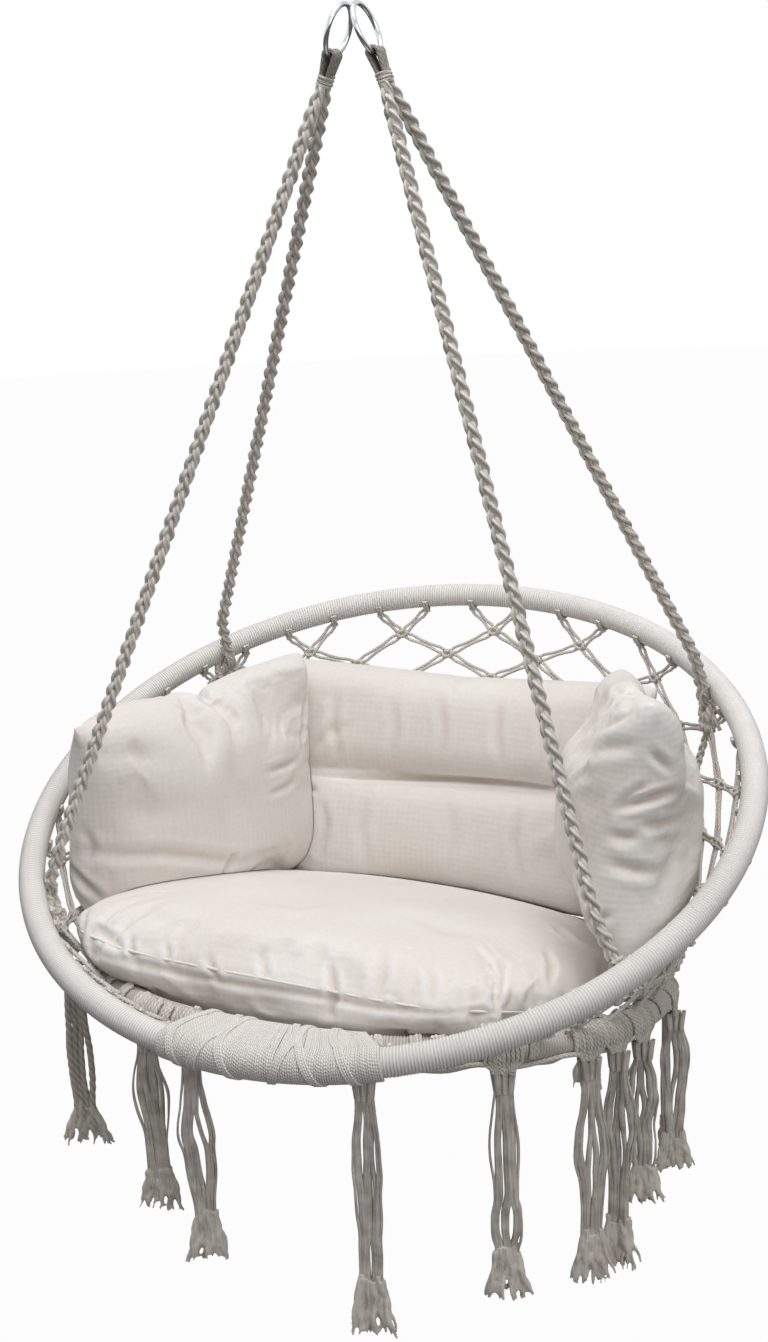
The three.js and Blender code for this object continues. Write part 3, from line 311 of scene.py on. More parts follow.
def cotton_cord(name, light, dark, ply_pitch, depth=1.0):
    """Twisted cotton cord: matt, with painted shade darkening the grooves between its plies, and with loose
    fibres.
    The lay follows the cord by its own attributes."""
    material, tree = blank_material(name)
    parts = {label: add_node(tree, "ShaderNodeAttribute", attribute_name=label)
             for label in ("ply_sine", "ply_cosine", "run", "tone")}
    phase = add_node(tree, "ShaderNodeMath", {0: parts["run"].outputs["Fac"], 1: 2 * math.pi / ply_pitch},
                     operation="MULTIPLY")
    halves = []
    for label, operation in (("ply_sine", "COSINE"), ("ply_cosine", "SINE")):
        swing = add_node(tree, "ShaderNodeMath", {0: phase}, operation=operation)
        halves.append(add_node(tree, "ShaderNodeMath", {0: swing, 1: parts[label].outputs["Fac"]},
                               operation="MULTIPLY"))
    lay = add_node(tree, "ShaderNodeMath", {0: halves[0], 1: halves[1]}, operation="ADD")
    where = add_node(tree, "ShaderNodeTexCoord")
    fibre = add_node(tree, "ShaderNodeTexNoise", {"Vector": where.outputs["Object"]}, Scale=900.0, Detail=3.0)
    patch = add_node(tree, "ShaderNodeTexNoise", {"Vector": where.outputs["Object"]}, Scale=38.0, Detail=3.0)
    # Painted shade: the grooves between the plies are pushed toward the dark colour, on top of their bumps
    painted_groove_shade = add_node(tree, "ShaderNodeMapRange", {"Value": lay}, From_Min=-1.0, From_Max=0.6)
    shade = add_node(tree, "ShaderNodeMath", {0: painted_groove_shade, 1: 0.55}, operation="MULTIPLY")
    cloud = add_node(tree, "ShaderNodeMath", {0: patch.outputs["Fac"], 1: parts["tone"].outputs["Fac"]},
                     operation="ADD")
    cloud = add_node(tree, "ShaderNodeMath", {0: cloud, 1: 0.28}, operation="MULTIPLY")
    level = add_node(tree, "ShaderNodeMath", {0: shade, 1: cloud}, operation="ADD", use_clamp=True)
    tint = add_node(tree, "ShaderNodeValToRGB", {"Fac": level})
    tint.color_ramp.elements[0].color = linear(dark)
    tint.color_ramp.elements[1].color = linear(light)
    tall = add_node(tree, "ShaderNodeMath", {0: fibre.outputs["Fac"], 1: 0.6}, operation="MULTIPLY")
    height = add_node(tree, "ShaderNodeMath", {0: lay, 1: tall}, operation="ADD")
    bumps = add_node(tree, "ShaderNodeBump", {"Height": height}, Strength=0.7 * depth, Distance=0.0006)
    cotton = add_node(tree, "ShaderNodeBsdfPrincipled", {"Base Color": tint, "Normal": bumps}, Roughness=0.92,
                      Specular_IOR_Level=0.2, Sheen_Weight=0.25, Sheen_Roughness=0.5)
    add_node(tree, "ShaderNodeOutputMaterial", {"Surface": cotton})
    return material


rope_cotton = cotton_cord("twisted cotton rope strand", "#E4DED6", "#8C867F", ply_pitch=0.018)
band_cotton = cotton_cord("worn cotton band", "#B5AEA4", "#6A645C", ply_pitch=0.006)

for label, side in (("left", -1), ("right", 1)):
    pull, foot = ring_point(side, 2)
    across = np.array([math.cos(ring_lean), 0, side * math.sin(ring_lean)])
    over = ring_wire_radius + eye_cord_radius + eye_gap
    paths = []
    for cord in range(eye_cords):
        share = 2 * cord / (eye_cords - 1) - 1
        beside = over + eye_slide * abs(share)
        line = []
        for step in range(-eye_bend_steps - eye_leg_steps, eye_bend_steps + eye_leg_steps + 1):
            sideways = math.copysign(1, step) if step else 0.0
            if abs(step) <= eye_bend_steps:
                bend = step / eye_bend_steps * math.pi / 2
                point = foot + across * beside * math.sin(bend) - pull * over * math.cos(bend)
                close = 0.0
            else:
                close = (abs(step) - eye_bend_steps) / eye_leg_steps
                width = beside * (1 - close) + neck_half_depth * close
                point = foot + across * width * sideways + pull * neck_drop * close
            # The wire curves up at its sides, so the outer cords of the band ride higher
            across_wire = share * (eye_width / 2 * (1 - close) + neck_width / 2 * close)
            lift = (ring_radius - math.sqrt(ring_radius**2 - across_wire**2)) * (1 - close)
            line.append(point + np.array([0, across_wire, 0]) - pull * lift)
        paths.append((line, eye_cord_radius))
    eye = lay_cords(f"cord_eye_{label}", paths, band_cotton, sides=8, seed=3 + side)
    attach(eye, "chair")
    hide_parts(f"rope_eye_{label}")

    line = []
    for step in range(collar_turns * collar_turn_steps + 1):
        turn = 2 * math.pi * step / collar_turn_steps
        point = foot + pull * (collar_drop + collar_pitch * step / collar_turn_steps)
        line.append(point + across * collar_half_depth * math.cos(turn)
                    + np.array([0, collar_half_width * math.sin(turn), 0]))
    binding = lay_cords(f"cord_binding_{label}", [(line, collar_cord_radius)], rope_cotton, sides=8,
                        seed=5 + side)
    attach(binding, "chair")
    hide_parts(f"rope_binding_{label}")


# Hoops: round steel tube, powder coated, hidden under a close winding of thin off-white cord.
# The upper hoop is 800 mm across and tipped up at the back, the seat hoop 628 mm and tipped down.
upper_radius = 0.386
upper_drop = 0.785
upper_tilt = math.radians(19.25)
seat_radius = 0.300
seat_drop = 0.977
seat_forward = 0.028
seat_tilt = math.radians(-12.3)
hoop_radius = 0.014
# The winding's cord is about 2 mm thick. It is drawn coarser, so that its turns show.
winding_pitch = 0.0030
winding_rib = 0.0005
winding_turn_steps = 6
# The windings' ends meet under the lashing
butt_angle = -100


def upper_point(angle):
    """A point on the upper hoop's centre line. 0 degrees is the right, -90 the front."""
    back = upper_radius * np.sin(np.radians(angle))
    return np.array([upper_radius * np.cos(np.radians(angle)), back * math.cos(upper_tilt),
                     back * math.sin(upper_tilt) - upper_drop]).T


def seat_point(angle, radius=seat_radius, rise=0.0):
    back = radius * np.sin(np.radians(angle))
    return np.array([radius * np.cos(np.radians(angle)),
                     back * math.cos(seat_tilt) - rise * math.sin(seat_tilt) - seat_forward,
                     back * math.sin(seat_tilt) + rise * math.cos(seat_tilt) - seat_drop]).T


def unit(vector):
    return vector / np.linalg.norm(vector, axis=-1, keepdims=True)


def tangent(point_of, angle):
    return unit(point_of(angle + 0.5) - point_of(angle - 0.5))


# Powder coat on the hidden tube: a fine orange-peel skin
coat, tree = blank_material("powder coated steel tube")
where = add_node(tree, "ShaderNodeTexCoord")
peel = add_node(tree, "ShaderNodeTexNoise", {"Vector": where.outputs["Object"]}, Scale=500.0, Detail=3.0)
tint = add_node(tree, "ShaderNodeValToRGB", {"Fac": peel.outputs["Fac"]})
tint.color_ramp.elements[0].color = linear("#C9C6C0")
tint.color_ramp.elements[1].color = linear("#DAD7D1")
bumps = add_node(tree, "ShaderNodeBump", {"Height": peel.outputs["Fac"]}, Strength=0.2, Distance=0.0002)
skin = add_node(tree, "ShaderNodeBsdfPrincipled", {"Base Color": tint, "Normal": bumps}, Roughness=0.5)
add_node(tree, "ShaderNodeOutputMaterial", {"Surface": skin})
for name in ("upper_hoop_tube", "seat_hoop_tube"):
    tube = frame["nodes"][name]
    tube.data.materials.clear()
    tube.data.materials.append(coat)

winding_cotton = cotton_cord("off-white winding cord", "#EBE8E5", "#AFA9A2", winding_pitch, 0.7)
# The seat hoop is wound in the same off-white cord. Its darker grey-beige copy is painted shade from the
# upper hoop above it.
shaded_seat_winding_cotton = cotton_cord("off-white winding cord with painted shade", "#D2CBC4", "#8F8880", winding_pitch, 0.8)
lashing_cotton = cotton_cord("off-white lashing cord", "#E8E4E0", "#C4BEB8", winding_pitch, 0.5)
for name, point_of, radius, cotton in (
    ("upper_hoop", upper_point, upper_radius, winding_cotton),
    ("seat_hoop", seat_point, seat_radius, shaded_seat_winding_cotton),
):
    turns = round(2 * math.pi * radius / winding_pitch)
    steps = winding_turn_steps * turns
    line = [point_of(butt_angle + 360 * step / steps) for step in range(steps)]
    winding = lay_cords(f"{name}_cord_winding", [(line, hoop_radius - winding_rib)], cotton, sides=15,
                        plies=1, ply_depth=winding_rib, ply_pitch=2 * math.pi * radius / turns, closed=True)
    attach(winding, "chair")
    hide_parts(f"{name}_winding")


# Ropes: three thick twisted strands braided flat, about 14 mm across. One runs to the front and
# one to the back of the upper hoop from each ring, and turns round the hoop's inner side.
braid_length = 0.046
strand_radius = 0.0033
strand_ply_depth = 0.0005
strand_ply_pitch = 0.018
braid_half_width = 0.0037
braid_half_depth = 0.0026
# The braids start close together at the neck, and near the hoop they turn to its inner side
rope_neck_drop = 0.026
rope_neck_apart = 0.0052
rope_turn_height = 0.06
rope_turn_in = 0.009
rope_standoff = 0.006
rope_bends = range(50, 151, 10)
rope_places = (
    ("front_left", -1, -180 + 33.5, -1),
    ("back_left", -1, 180 - 36.5, 1),
    ("front_right", 1, -33.5, -1),
    ("back_right", 1, 36.5, 1),
)


def braid(route, size=1.0, settle_length=0.03):
    """Paths of the strands in a three-strand braid along a route given as points."""
    route = np.asarray(route, float)
    reached = np.concatenate([[0], np.cumsum(np.linalg.norm(np.diff(route, axis=0), axis=1))])
    runs = np.linspace(0, reached[-1], int(reached[-1] / (braid_length * size) * 22) + 1)
    spine = np.stack([np.interp(runs, reached, route[:, axis]) for axis in range(3)], 1)
    for attempt in range(8):
        spine[1:-1] = (spine[:-2] + 2 * spine[1:-1] + spine[2:]) / 4
    ways = np.gradient(spine, axis=0)
    side = np.cross(ways[0], [0, 1, 0])
    lines = [[], [], []]
    for run, place, way in zip(runs, spine, ways):
        way = unit(way)
        side = unit(side - way * side.dot(way))
        face = np.cross(way, side)
        spread = size * (0.6 + 0.4 * min(run / settle_length, 1.0))
        for strand in range(3):
            turn = 2 * math.pi * (run / (braid_length * size) + strand / 3)
            lines[strand].append(place + spread * (side * braid_half_width * math.sin(turn)
                                                   + face * braid_half_depth * math.sin(2 * turn)))
    return [(line, strand_radius * size) for line in lines]


def foot_frame(angle, start):
    """At a rope's foot: the hoop's middle, the way along it, back up the rope and to its inner side."""
    middle = upper_point(angle)
    along = tangent(upper_point, angle)
    rise = start - middle
    rise = unit(rise - along * rise.dot(along))
    inner = np.cross(along, rise)
    return middle, along, rise, inner * (-1 if inner[:2].dot(middle[:2]) > 0 else 1)


feet = []
for label, side, angle, fore in rope_places:
    pull, foot = ring_point(side, 2)
    start = foot + pull * rope_neck_drop + np.array([0, fore * rope_neck_apart, 0])
    middle, along, rise, inner = foot_frame(angle, start)
    route = [start, middle + rise * rope_turn_height + inner * rope_turn_in]
    for bend in np.radians(rope_bends):
        way = rise * math.cos(bend) + inner * math.sin(bend)
        route.append(middle + way * (hoop_radius + rope_standoff))
    feet.append((label, middle, along, rise, inner))
    rope = lay_cords(f"braided_rope_{label}", braid(route), rope_cotton, sides=15, ply_depth=strand_ply_depth,
                     ply_pitch=strand_ply_pitch, seed=11 + int(abs(angle)))
    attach(rope, "chair")
    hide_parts(f"rope_{label}")


# Rope feet: below the hoop a rope ends in a bulky knot, whose cords part into the net. Beside it
# a few turns of the winding cord bind the rope to the hoop.
net_cotton = cotton_cord("net cord, twisted cotton", "#E8E2DA", "#9F9890", ply_pitch=0.005)
foot_cotton = cotton_cord("knotted rope strand", "#E4DED5", "#938C83", ply_pitch=0.008)
foot_turns = 4
foot_cord_radius = 0.0016
foot_turn_slide = 0.0016
foot_rope_rise = 0.011
foot_knot_standoff = 0.011
foot_knot_size, foot_knot_strand = 0.0086, 0.0040
low_knot_size, low_knot_strand = 0.0062, 0.0034
low_knot_drop, low_knot_shift = 0.013, 0.004
# The loose strands that leave a knot: their way along the hoop and down
foot_strands = ((-0.026, 0.010), (0.027, 0.008), (-0.015, 0.026), (0.017, 0.024))
foot_strand_radius = 0.0022
foot_strand_tuck = 0.004


def knot_path(middle, across, up, out, size, turns=2):
    """A closed-up overhand knot: a line that winds round itself twice."""
    line = []
    for step in range(0, 46):
        turn = 2 * math.pi * turns * step / 45
        wide = 1 + 0.45 * math.cos(1.5 * turn)
        line.append(middle + size * (across * wide * math.cos(turn) + up * wide * math.sin(turn)
                                     + out * 0.55 * math.sin(1.5 * turn)))
    return line


for number, (label, middle, along, rise, inner) in enumerate(feet):
    down = unit(seat_point(rope_places[number][2]) - middle)
    inward = unit(np.cross(along, down))
    knot_middle = middle + unit(down + 0.35 * inner) * (hoop_radius + foot_knot_standoff)
    low_knot = knot_middle + down * low_knot_drop + along * low_knot_shift * (-1) ** number
    paths = [(knot_path(knot_middle, along, down, inner, foot_knot_size), foot_knot_strand),
             (knot_path(low_knot, along, down, inner, low_knot_size, 1.5), low_knot_strand)]
    for across, drop in foot_strands:
        tip = knot_middle + along * across + down * drop - inward * foot_strand_tuck
        bend = knot_middle + along * across * 0.6 + down * drop * 0.2
        steps = np.linspace(0, 1, 12)[:, None]
        curve = (1 - steps) ** 2 * knot_middle + 2 * steps * (1 - steps) * bend + steps**2 * tip
        paths.append((curve, foot_strand_radius))
    knot = lay_cords(f"rope_foot_{label}", paths, foot_cotton, sides=12, ply_depth=0.0003, ply_pitch=0.010,
                     seed=21 + number)
    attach(knot, "chair")
    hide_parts(f"hitch_{label}")

    paths = []
    for cord in range(foot_turns):
        line = []
        for turn in np.radians(range(30, 201, 10)):
            # Over the rope the turns stand off by its thickness
            reach = hoop_radius + foot_cord_radius * 0.4 + foot_rope_rise * max(math.sin(turn), 0.0) ** 2
            slide = (cord - 1.5) * 2.3 * foot_cord_radius + foot_turn_slide * math.sin(turn + cord)
            line.append(middle + along * slide + reach * (rise * math.cos(turn) + inner * math.sin(turn)))
        paths.append((line, foot_cord_radius))
    turns = lay_cords(f"foot_turns_{label}", paths, winding_cotton, sides=8, plies=1, seed=25 + number)
    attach(turns, "chair")


# Front lashing: flat laps of the winding cord, eleven turns side by side, bind both hoops along
# the front. Loose bands of it run askew over the laps, so that their edges meet in Vs.
lash_start = -101
lash_end = -69.4
lash_laps = 9
lap_cords = 11
lash_cord_radius = 0.0011
lash_gap = 0.0003
band_cords = 4
band_shares = ((0.08, 0.5), (0.19, -0.5), (0.33, 0.6), (0.56, -0.5), (0.70, 0.6), (0.86, 0.5))


def lap_outline(angle, turn, lift=0.0):
    """A point on the outline round both hoops: two half rounds joined by straights."""
    outer, inner = upper_point(angle), seat_point(angle)
    along = tangent(upper_point, angle)
    forward = outer - inner
    forward = unit(forward - along * forward.dot(along))
    up = np.cross(along, forward)
    reach = hoop_radius + lash_cord_radius + lash_gap + lift
    share = (turn % 1.0) * 4
    if share < 1:
        bend = (share - 0.5) * math.pi
        return outer + reach * (forward * math.cos(bend) + up * math.sin(bend))
    if share < 2:
        return (outer + up * reach) * (2 - share) + (inner + up * reach) * (share - 1)
    if share < 3:
        bend = (share - 1.5) * math.pi
        return inner + reach * (forward * math.cos(bend) + up * math.sin(bend))
    return (inner - up * reach) * (4 - share) + (outer - up * reach) * (share - 3)


lap_angle = (lash_end - lash_start) / lash_laps
cord_angle = math.degrees(1.95 * lash_cord_radius / upper_radius)
bands = [(lash_start + lap_angle * (lap + 0.5), lap_cords, 0.03 * math.sin(5 * lap), 0.0)
         for lap in range(lash_laps)]
bands += [(lash_start + (lash_end - lash_start) * share, band_cords, lean, 1.4 * lash_cord_radius)
          for share, lean in band_shares]
paths = []
for band_angle, cords, lean, lift in bands:
    for cord in range(cords):
        base = band_angle + cord_angle * (cord - (cords - 1) / 2)
        line = []
        for step in range(0, 49):
            turn = step / 48
            slide = lean * lap_angle * math.sin(2 * math.pi * (turn - 0.125))
            line.append(lap_outline(base + slide, turn, lift))
        paths.append((line, lash_cord_radius))
lashing = lay_cords("front_cord_lashing", paths, lashing_cotton, sides=6, plies=1, seed=31)
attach(lashing, "chair")
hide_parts("front_lashing")


# Side net: pairs of twisted cotton cord hitched to the upper hoop every 9 degrees, knotted in
# diamonds in rows 29 mm apart and tied off round the seat hoop.
net_cord_radius = 0.0019
pair_slit = 0.0014
net_knot_size = 0.0043
net_knot_cord = 0.0023
knot_columns = 40
column_angle = 360 / knot_columns
first_row_depth = 0.044
row_pitch = 0.029
net_end_margin = 0.026
net_bow = 0.0012
hitch_gap = 0.0001
hitch_half_gap = 0.0016
hitch_half_turn = math.radians(62)
bar_half_length = 0.0042
bar_lift = 0.0016
pair_end_lift = 0.001


def in_lashing(angle):
    return lash_start - 3 < angle < lash_end + 3


def net_gap(angle):
    return np.linalg.norm(upper_point(angle) - seat_point(angle))


def net_point(angle, depth):
    share = depth / net_gap(angle)
    return upper_point(angle) * (1 - share) + seat_point(angle) * share


def cord_pair(start, end, aside, bow=0.0, count=11):
    """Two cords side by side that part into small slits near their ends."""
    paths = []
    for side in (-1, 1):
        line = []
        for step in range(count):
            share = step / (count - 1)
            slit = math.exp(-((share - 0.2) / 0.11) ** 2) + math.exp(-((share - 0.8) / 0.11) ** 2)
            width = side * (net_cord_radius * 1.02 + pair_slit * slit)
            line.append(start * (1 - share) + end * share + aside * (width + bow * math.sin(math.pi * share)))
        paths.append((line, net_cord_radius))
    return paths


def small_knot(middle, across, down, inward, size=net_knot_size):
    """The net's knot: one cord goes round the other three."""
    line = []
    for step in range(0, 21):
        turn = 2 * math.pi * 2 * step / 20
        line.append(middle + size * (across * (1 + 0.3 * math.cos(turn / 2)) * math.cos(turn) * 1.25
                                     + down * math.sin(turn) * 0.85
                                     + inward * 0.75 * math.sin(turn * 1.5)))
    return (line, net_knot_cord)


def hoop_hitch(point_of, angle, toward):
    """The pair's turns on the net's side of the hoop, before they go under its winding, and the
    bar that locks them."""
    middle = point_of(angle)
    along = tangent(point_of, angle)
    out = toward - middle
    out = unit(out - along * out.dot(along))
    up = np.cross(along, out)
    reach = hoop_radius + net_cord_radius + hitch_gap
    paths = []
    for side in (-1, 1):
        line = []
        for step in range(0, 11):
            turn = hitch_half_turn * (step / 5 - 1)
            way = out * math.cos(turn) + up * math.sin(turn)
            line.append(middle + along * side * hitch_half_gap + reach * way)
        paths.append((line, net_cord_radius))
    bar = [middle + along * bar_half_length * share + out * (reach + bar_lift)
           for share in np.linspace(-1, 1, 5)]
    paths.append((bar, net_cord_radius * 1.1))
    return paths, middle + out * (reach + pair_end_lift)


paths = []
knots = {}
for column in range(knot_columns):
    angle = column * column_angle - 180
    deepest = net_gap(angle) - net_end_margin
    row = column % 2
    while not in_lashing(angle):
        wanted = first_row_depth + row_pitch * row
        if wanted > deepest:
            break
        knots[column, row] = (angle, net_point(angle, wanted))
        row += 2
uneven = np.random.default_rng(5)
for (column, row), (angle, place) in knots.items():
    across = tangent(upper_point, angle)
    down = unit(seat_point(angle) - upper_point(angle))
    inward = unit(np.cross(across, down))
    paths.append(small_knot(place, across, down, inward))
    for turn in (-1, 1):
        beside = (column + turn) % knot_columns
        for fall in (-1, 1):
            other = knots.get((beside, row + fall))
            end_angle = angle + turn * column_angle / 2
            if other is not None:
                if fall > 0:
                    aside = unit(np.cross(other[1] - place, inward))
                    paths += cord_pair(place, other[1], aside, uneven.uniform(-net_bow, net_bow))
                continue
            if fall < 0 and row > 1:
                continue
            if in_lashing(end_angle) and fall < 0:
                continue
            point_of = seat_point if fall > 0 else upper_point
            hitch, end = hoop_hitch(point_of, end_angle, place)
            aside = unit(np.cross(end - place, inward))
            paths += hitch + cord_pair(place, end, aside)
# Beside the lashing the hoops are too close for a diamond, and the pairs cross once
for angle in np.concatenate([np.arange(-139.5, -104, 7), np.arange(-65, -38, 7)]):
    if any(abs(spot[0] - angle) < 8 for spot in knots.values()):
        continue
    for turn in (-1, 1):
        top_hitch, top = hoop_hitch(upper_point, angle + 3 * turn, seat_point(angle))
        low_hitch, low = hoop_hitch(seat_point, angle - 3 * turn, upper_point(angle))
        aside = tangent(upper_point, angle)
        paths += top_hitch + low_hitch + cord_pair(top, low, aside)
# The ropes' own strands run on down to the seat hoop at three of the four feet
run_on_size = 0.62
run_on_gap, run_on_sink = 0.006, 0.001
for label, side, angle, fore in rope_places[1:]:
    down = unit(seat_point(angle) - upper_point(angle))
    start = upper_point(angle) + down * (hoop_radius + run_on_gap)
    end = seat_point(angle) - down * (hoop_radius - run_on_sink)
    paths += braid([start, end], run_on_size)
# Right of the lashing the seat hoop is wrapped in cords that run on from knot to knot
wrap_cords = 4
wrap_cord_radius = 0.0024
wrap_lift, wrap_wander = 0.0026, 0.0008
for strand in range(wrap_cords):
    line = []
    for angle in np.arange(-66, -14, 1.5):
        turn = math.radians(-50 - 38 * strand) + 0.35 * math.sin(math.radians(angle * 19) + 2.1 * strand)
        along = tangent(seat_point, angle)
        out = unit(seat_point(angle) - seat_point(0, 0.0))
        reach = hoop_radius + wrap_lift + wrap_wander * math.sin(math.radians(angle * 31) + strand)
        way = out * math.cos(turn) - np.cross(along, out) * math.sin(turn)
        line.append(seat_point(angle) + reach * way)
    paths.append((line, wrap_cord_radius))
net = lay_cords("knotted_side_net", paths, net_cotton, sides=6, seed=41)
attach(net, "chair")
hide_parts("side_net")


# Rope tail: the front left rope's strands run on side by side below its foot, outside the net,
# into the first tassel. Each other tassel hangs in a wedge of cords looped over the seat hoop.
tassel_pivots = [np.array(joint["pos_m"]) for joint in frame["joints"] if joint["name"].startswith("tassel")]
tail_end_rise = 0.0125
tail_standoff = 0.004
tail_strand_radius = 0.0034
tail_half_width = 0.0082
tail_start = upper_point(rope_places[0][2])
tail_end = tassel_pivots[0] + [0, 0, tail_end_rise]
tail_start = tail_start + unit(tail_end - tail_start) * (hoop_radius + tail_standoff)
tail_way = np.array([0.95, 0.3, 0])
paths = []
for share in (-1, -0.33, 0.33, 1):
    line = [tail_start * (1 - run) + tail_end * run + tail_way * share * tail_half_width
            for run in np.linspace(0, 1, 21)]
    paths.append((line, tail_strand_radius))
tail = lay_cords("front_left_rope_tail", paths, foot_cotton, sides=12, ply_depth=0.0004, ply_pitch=0.010,
                 seed=51)
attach(tail, "chair")
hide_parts("rope_tail_front_left")

paths = []
loop_half_angle = 3.4
loop_cords = 9
loop_cord_radius = 0.0021
loop_lift = 0.0022
# Where a loop's cords run into the tassel's head: half their spread, and how high over its pivot
loop_ends = ((0.0125, 0.0065), (0.0100, 0.0005))
for place in tassel_pivots[1:]:
    angle = math.degrees(math.atan2((place[1] + seat_forward) / math.cos(seat_tilt), place[0]))
    for strand in range(loop_cords):
        share = 2 * strand / (loop_cords - 1) - 1
        middle = seat_point(angle + loop_half_angle * share)
        along = tangent(seat_point, angle)
        out = unit((middle - seat_point(0, 0.0)) * [1, 1, 0])
        reach = hoop_radius + loop_lift
        line = []
        for bend in (80, 50, 20, -5, -25):
            turn = math.radians(bend + 6 * math.sin(3 * strand))
            line.append(middle + reach * (out * math.cos(turn) + np.array([0, 0, math.sin(turn)])))
        line += [place + along * share * spread + [0, 0, over] for spread, over in loop_ends]
        fine = np.linspace(0, len(line) - 1, 19)
        line = np.stack([np.interp(fine, range(len(line)), np.array(line)[:, axis]) for axis in range(3)], 1)
        for attempt in range(2):
            line[1:-1] = (line[:-2] + 2 * line[1:-1] + line[2:]) / 4
        paths.append((line, loop_cord_radius))
loops = lay_cords("tassel_loops", paths, net_cotton, sides=8, seed=53)
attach(loops, "chair")


# Seat net: pairs of the same cord cross inside the seat hoop and sag under the cushion.
seat_net_sag = 0.036
seat_net_pitch = 0.072
seat_net_cord_radius = 0.0014
seat_net_beat, seat_net_weave = 0.0008, 0.0006
seat_net_margin = 0.034
seat_knot_size = 0.0034


def seat_net_point(across, back):
    radius = math.hypot(across, back)
    sag = seat_net_sag * max(1 - (radius / seat_radius) ** 2, 0)
    return seat_point(math.degrees(math.atan2(back, across)), radius, -sag)


paths = []
slant = math.sqrt(0.5)
for way in (-1, 1):
    for number in range(-4, 5):
        fixed = number * seat_net_pitch
        reach = math.sqrt(max((seat_radius - hoop_radius) ** 2 - fixed**2, 0))
        if reach < 0.04:
            continue
        for side in (-1, 1):
            line = []
            for step in range(49):
                running = reach * (step / 24 - 1)
                phase = math.pi * running / seat_net_pitch
                beat = seat_net_cord_radius + seat_net_beat * math.cos(2 * phase + math.pi)
                spot = fixed + side * beat
                x = (running * way - spot) * slant
                y = (running + spot * way) * slant
                # At each crossing one pair goes over the other
                over = seat_net_weave * way * math.cos(phase + math.pi * number)
                line.append(seat_net_point(x, y) + np.array([0, 0, over]))
            paths.append((line, seat_net_cord_radius))
        for end in (-1, 1):
            x, y = (end * reach * way - fixed) * slant, (end * reach + fixed * way) * slant
            spot = math.degrees(math.atan2(y, x))
            hitch, place = hoop_hitch(seat_point, spot, seat_net_point(x * 0.8, y * 0.8))
            paths += hitch
        for other in range(-4, 5):
            if way > 0 and math.hypot(fixed, other * seat_net_pitch) < seat_radius - seat_net_margin:
                x = (other * seat_net_pitch - fixed) * slant
                y = (other * seat_net_pitch + fixed) * slant
                middle = seat_net_point(x, y)
                paths.append(small_knot(middle, np.array([1.0, 0, 0]), np.array([0, 1.0, 0]),
                                        np.array([0, 0, 1.0]), seat_knot_size))
bed = lay_cords("knotted_seat_net", paths, net_cotton, sides=5, seed=61)
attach(bed, "chair")
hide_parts("seat_net")


# Tassels: a head of net cord that fans from the seat hoop, and a flat bunch of broad soft strands
# that part in long slits, bend a little and end in a crumpled clump of loose fibre.
tassel_lengths = (224, 200, 233, 274, 245, 249, 245, 187, 190, 222, 200, 205, 212, 210, 205)
tassel_half_width = 0.0082
twisted_strand_radius = 0.0034
strand_half_thickness = 0.0026
stray_half_thickness = 0.0012
fibre_half_thickness = 0.0028
clump_voxel = 0.0013
strand_start = 0.002
# Each bunch differs within these ranges: its own bend, the slits' openings, each strand's wander,
# and how far a stray strand stands off
bend_sizes = (0.0008, 0.0026)
slit_openings = (0.0026, 0.0048)
wander_sizes = (0.0002, 0.0007)
stray_sizes = (0.0, 0.0040)
strand_half_layer = 0.0012
bunch_half_depth = 0.0016
# The frayed ends: how uneven they are, how they curl and how far they spread
fray_uneven = 0.012
fray_curl = 0.0016
fray_flare, twisted_flare = 0.0095, 0.0150
fray_half_depth = 0.0050
head_cords = 9
head_cord_radius = 0.0021
head_half_width, head_taper = 0.0100, 0.0026
head_half_depth = 0.0034
head_rise, head_length = 0.001, 0.021


def loose_cotton(name, light, dark):
    """Soft unspun cotton that hangs down: streaks along its fall, and paler and darker patches."""
    material, tree = blank_material(name)
    where = add_node(tree, "ShaderNodeTexCoord")
    drawn = add_node(tree, "ShaderNodeMapping", {"Vector": where.outputs["Object"]}, Scale=(1.0, 1.0, 0.05))
    streak = add_node(tree, "ShaderNodeTexNoise", {"Vector": drawn}, Scale=520.0, Detail=4.0)
    patch = add_node(tree, "ShaderNodeTexNoise", {"Vector": where.outputs["Object"]}, Scale=60.0, Detail=3.0)
    level = add_node(tree, "ShaderNodeMath", {0: streak.outputs["Fac"], 1: patch.outputs["Fac"]},
                     operation="ADD")
    level = add_node(tree, "ShaderNodeMapRange", {"Value": level}, From_Min=0.7, From_Max=1.3)
    tint = add_node(tree, "ShaderNodeValToRGB", {"Fac": level})
    tint.color_ramp.elements[0].color = linear(dark)
    tint.color_ramp.elements[1].color = linear(light)
    bumps = add_node(tree, "ShaderNodeBump", {"Height": streak.outputs["Fac"]}, Strength=0.6, Distance=0.001)
    cotton = add_node(tree, "ShaderNodeBsdfPrincipled", {"Base Color": tint, "Normal": bumps}, Roughness=0.95,
                      Specular_IOR_Level=0.15, Sheen_Weight=0.2)
    add_node(tree, "ShaderNodeOutputMaterial", {"Surface": cotton})
    return material


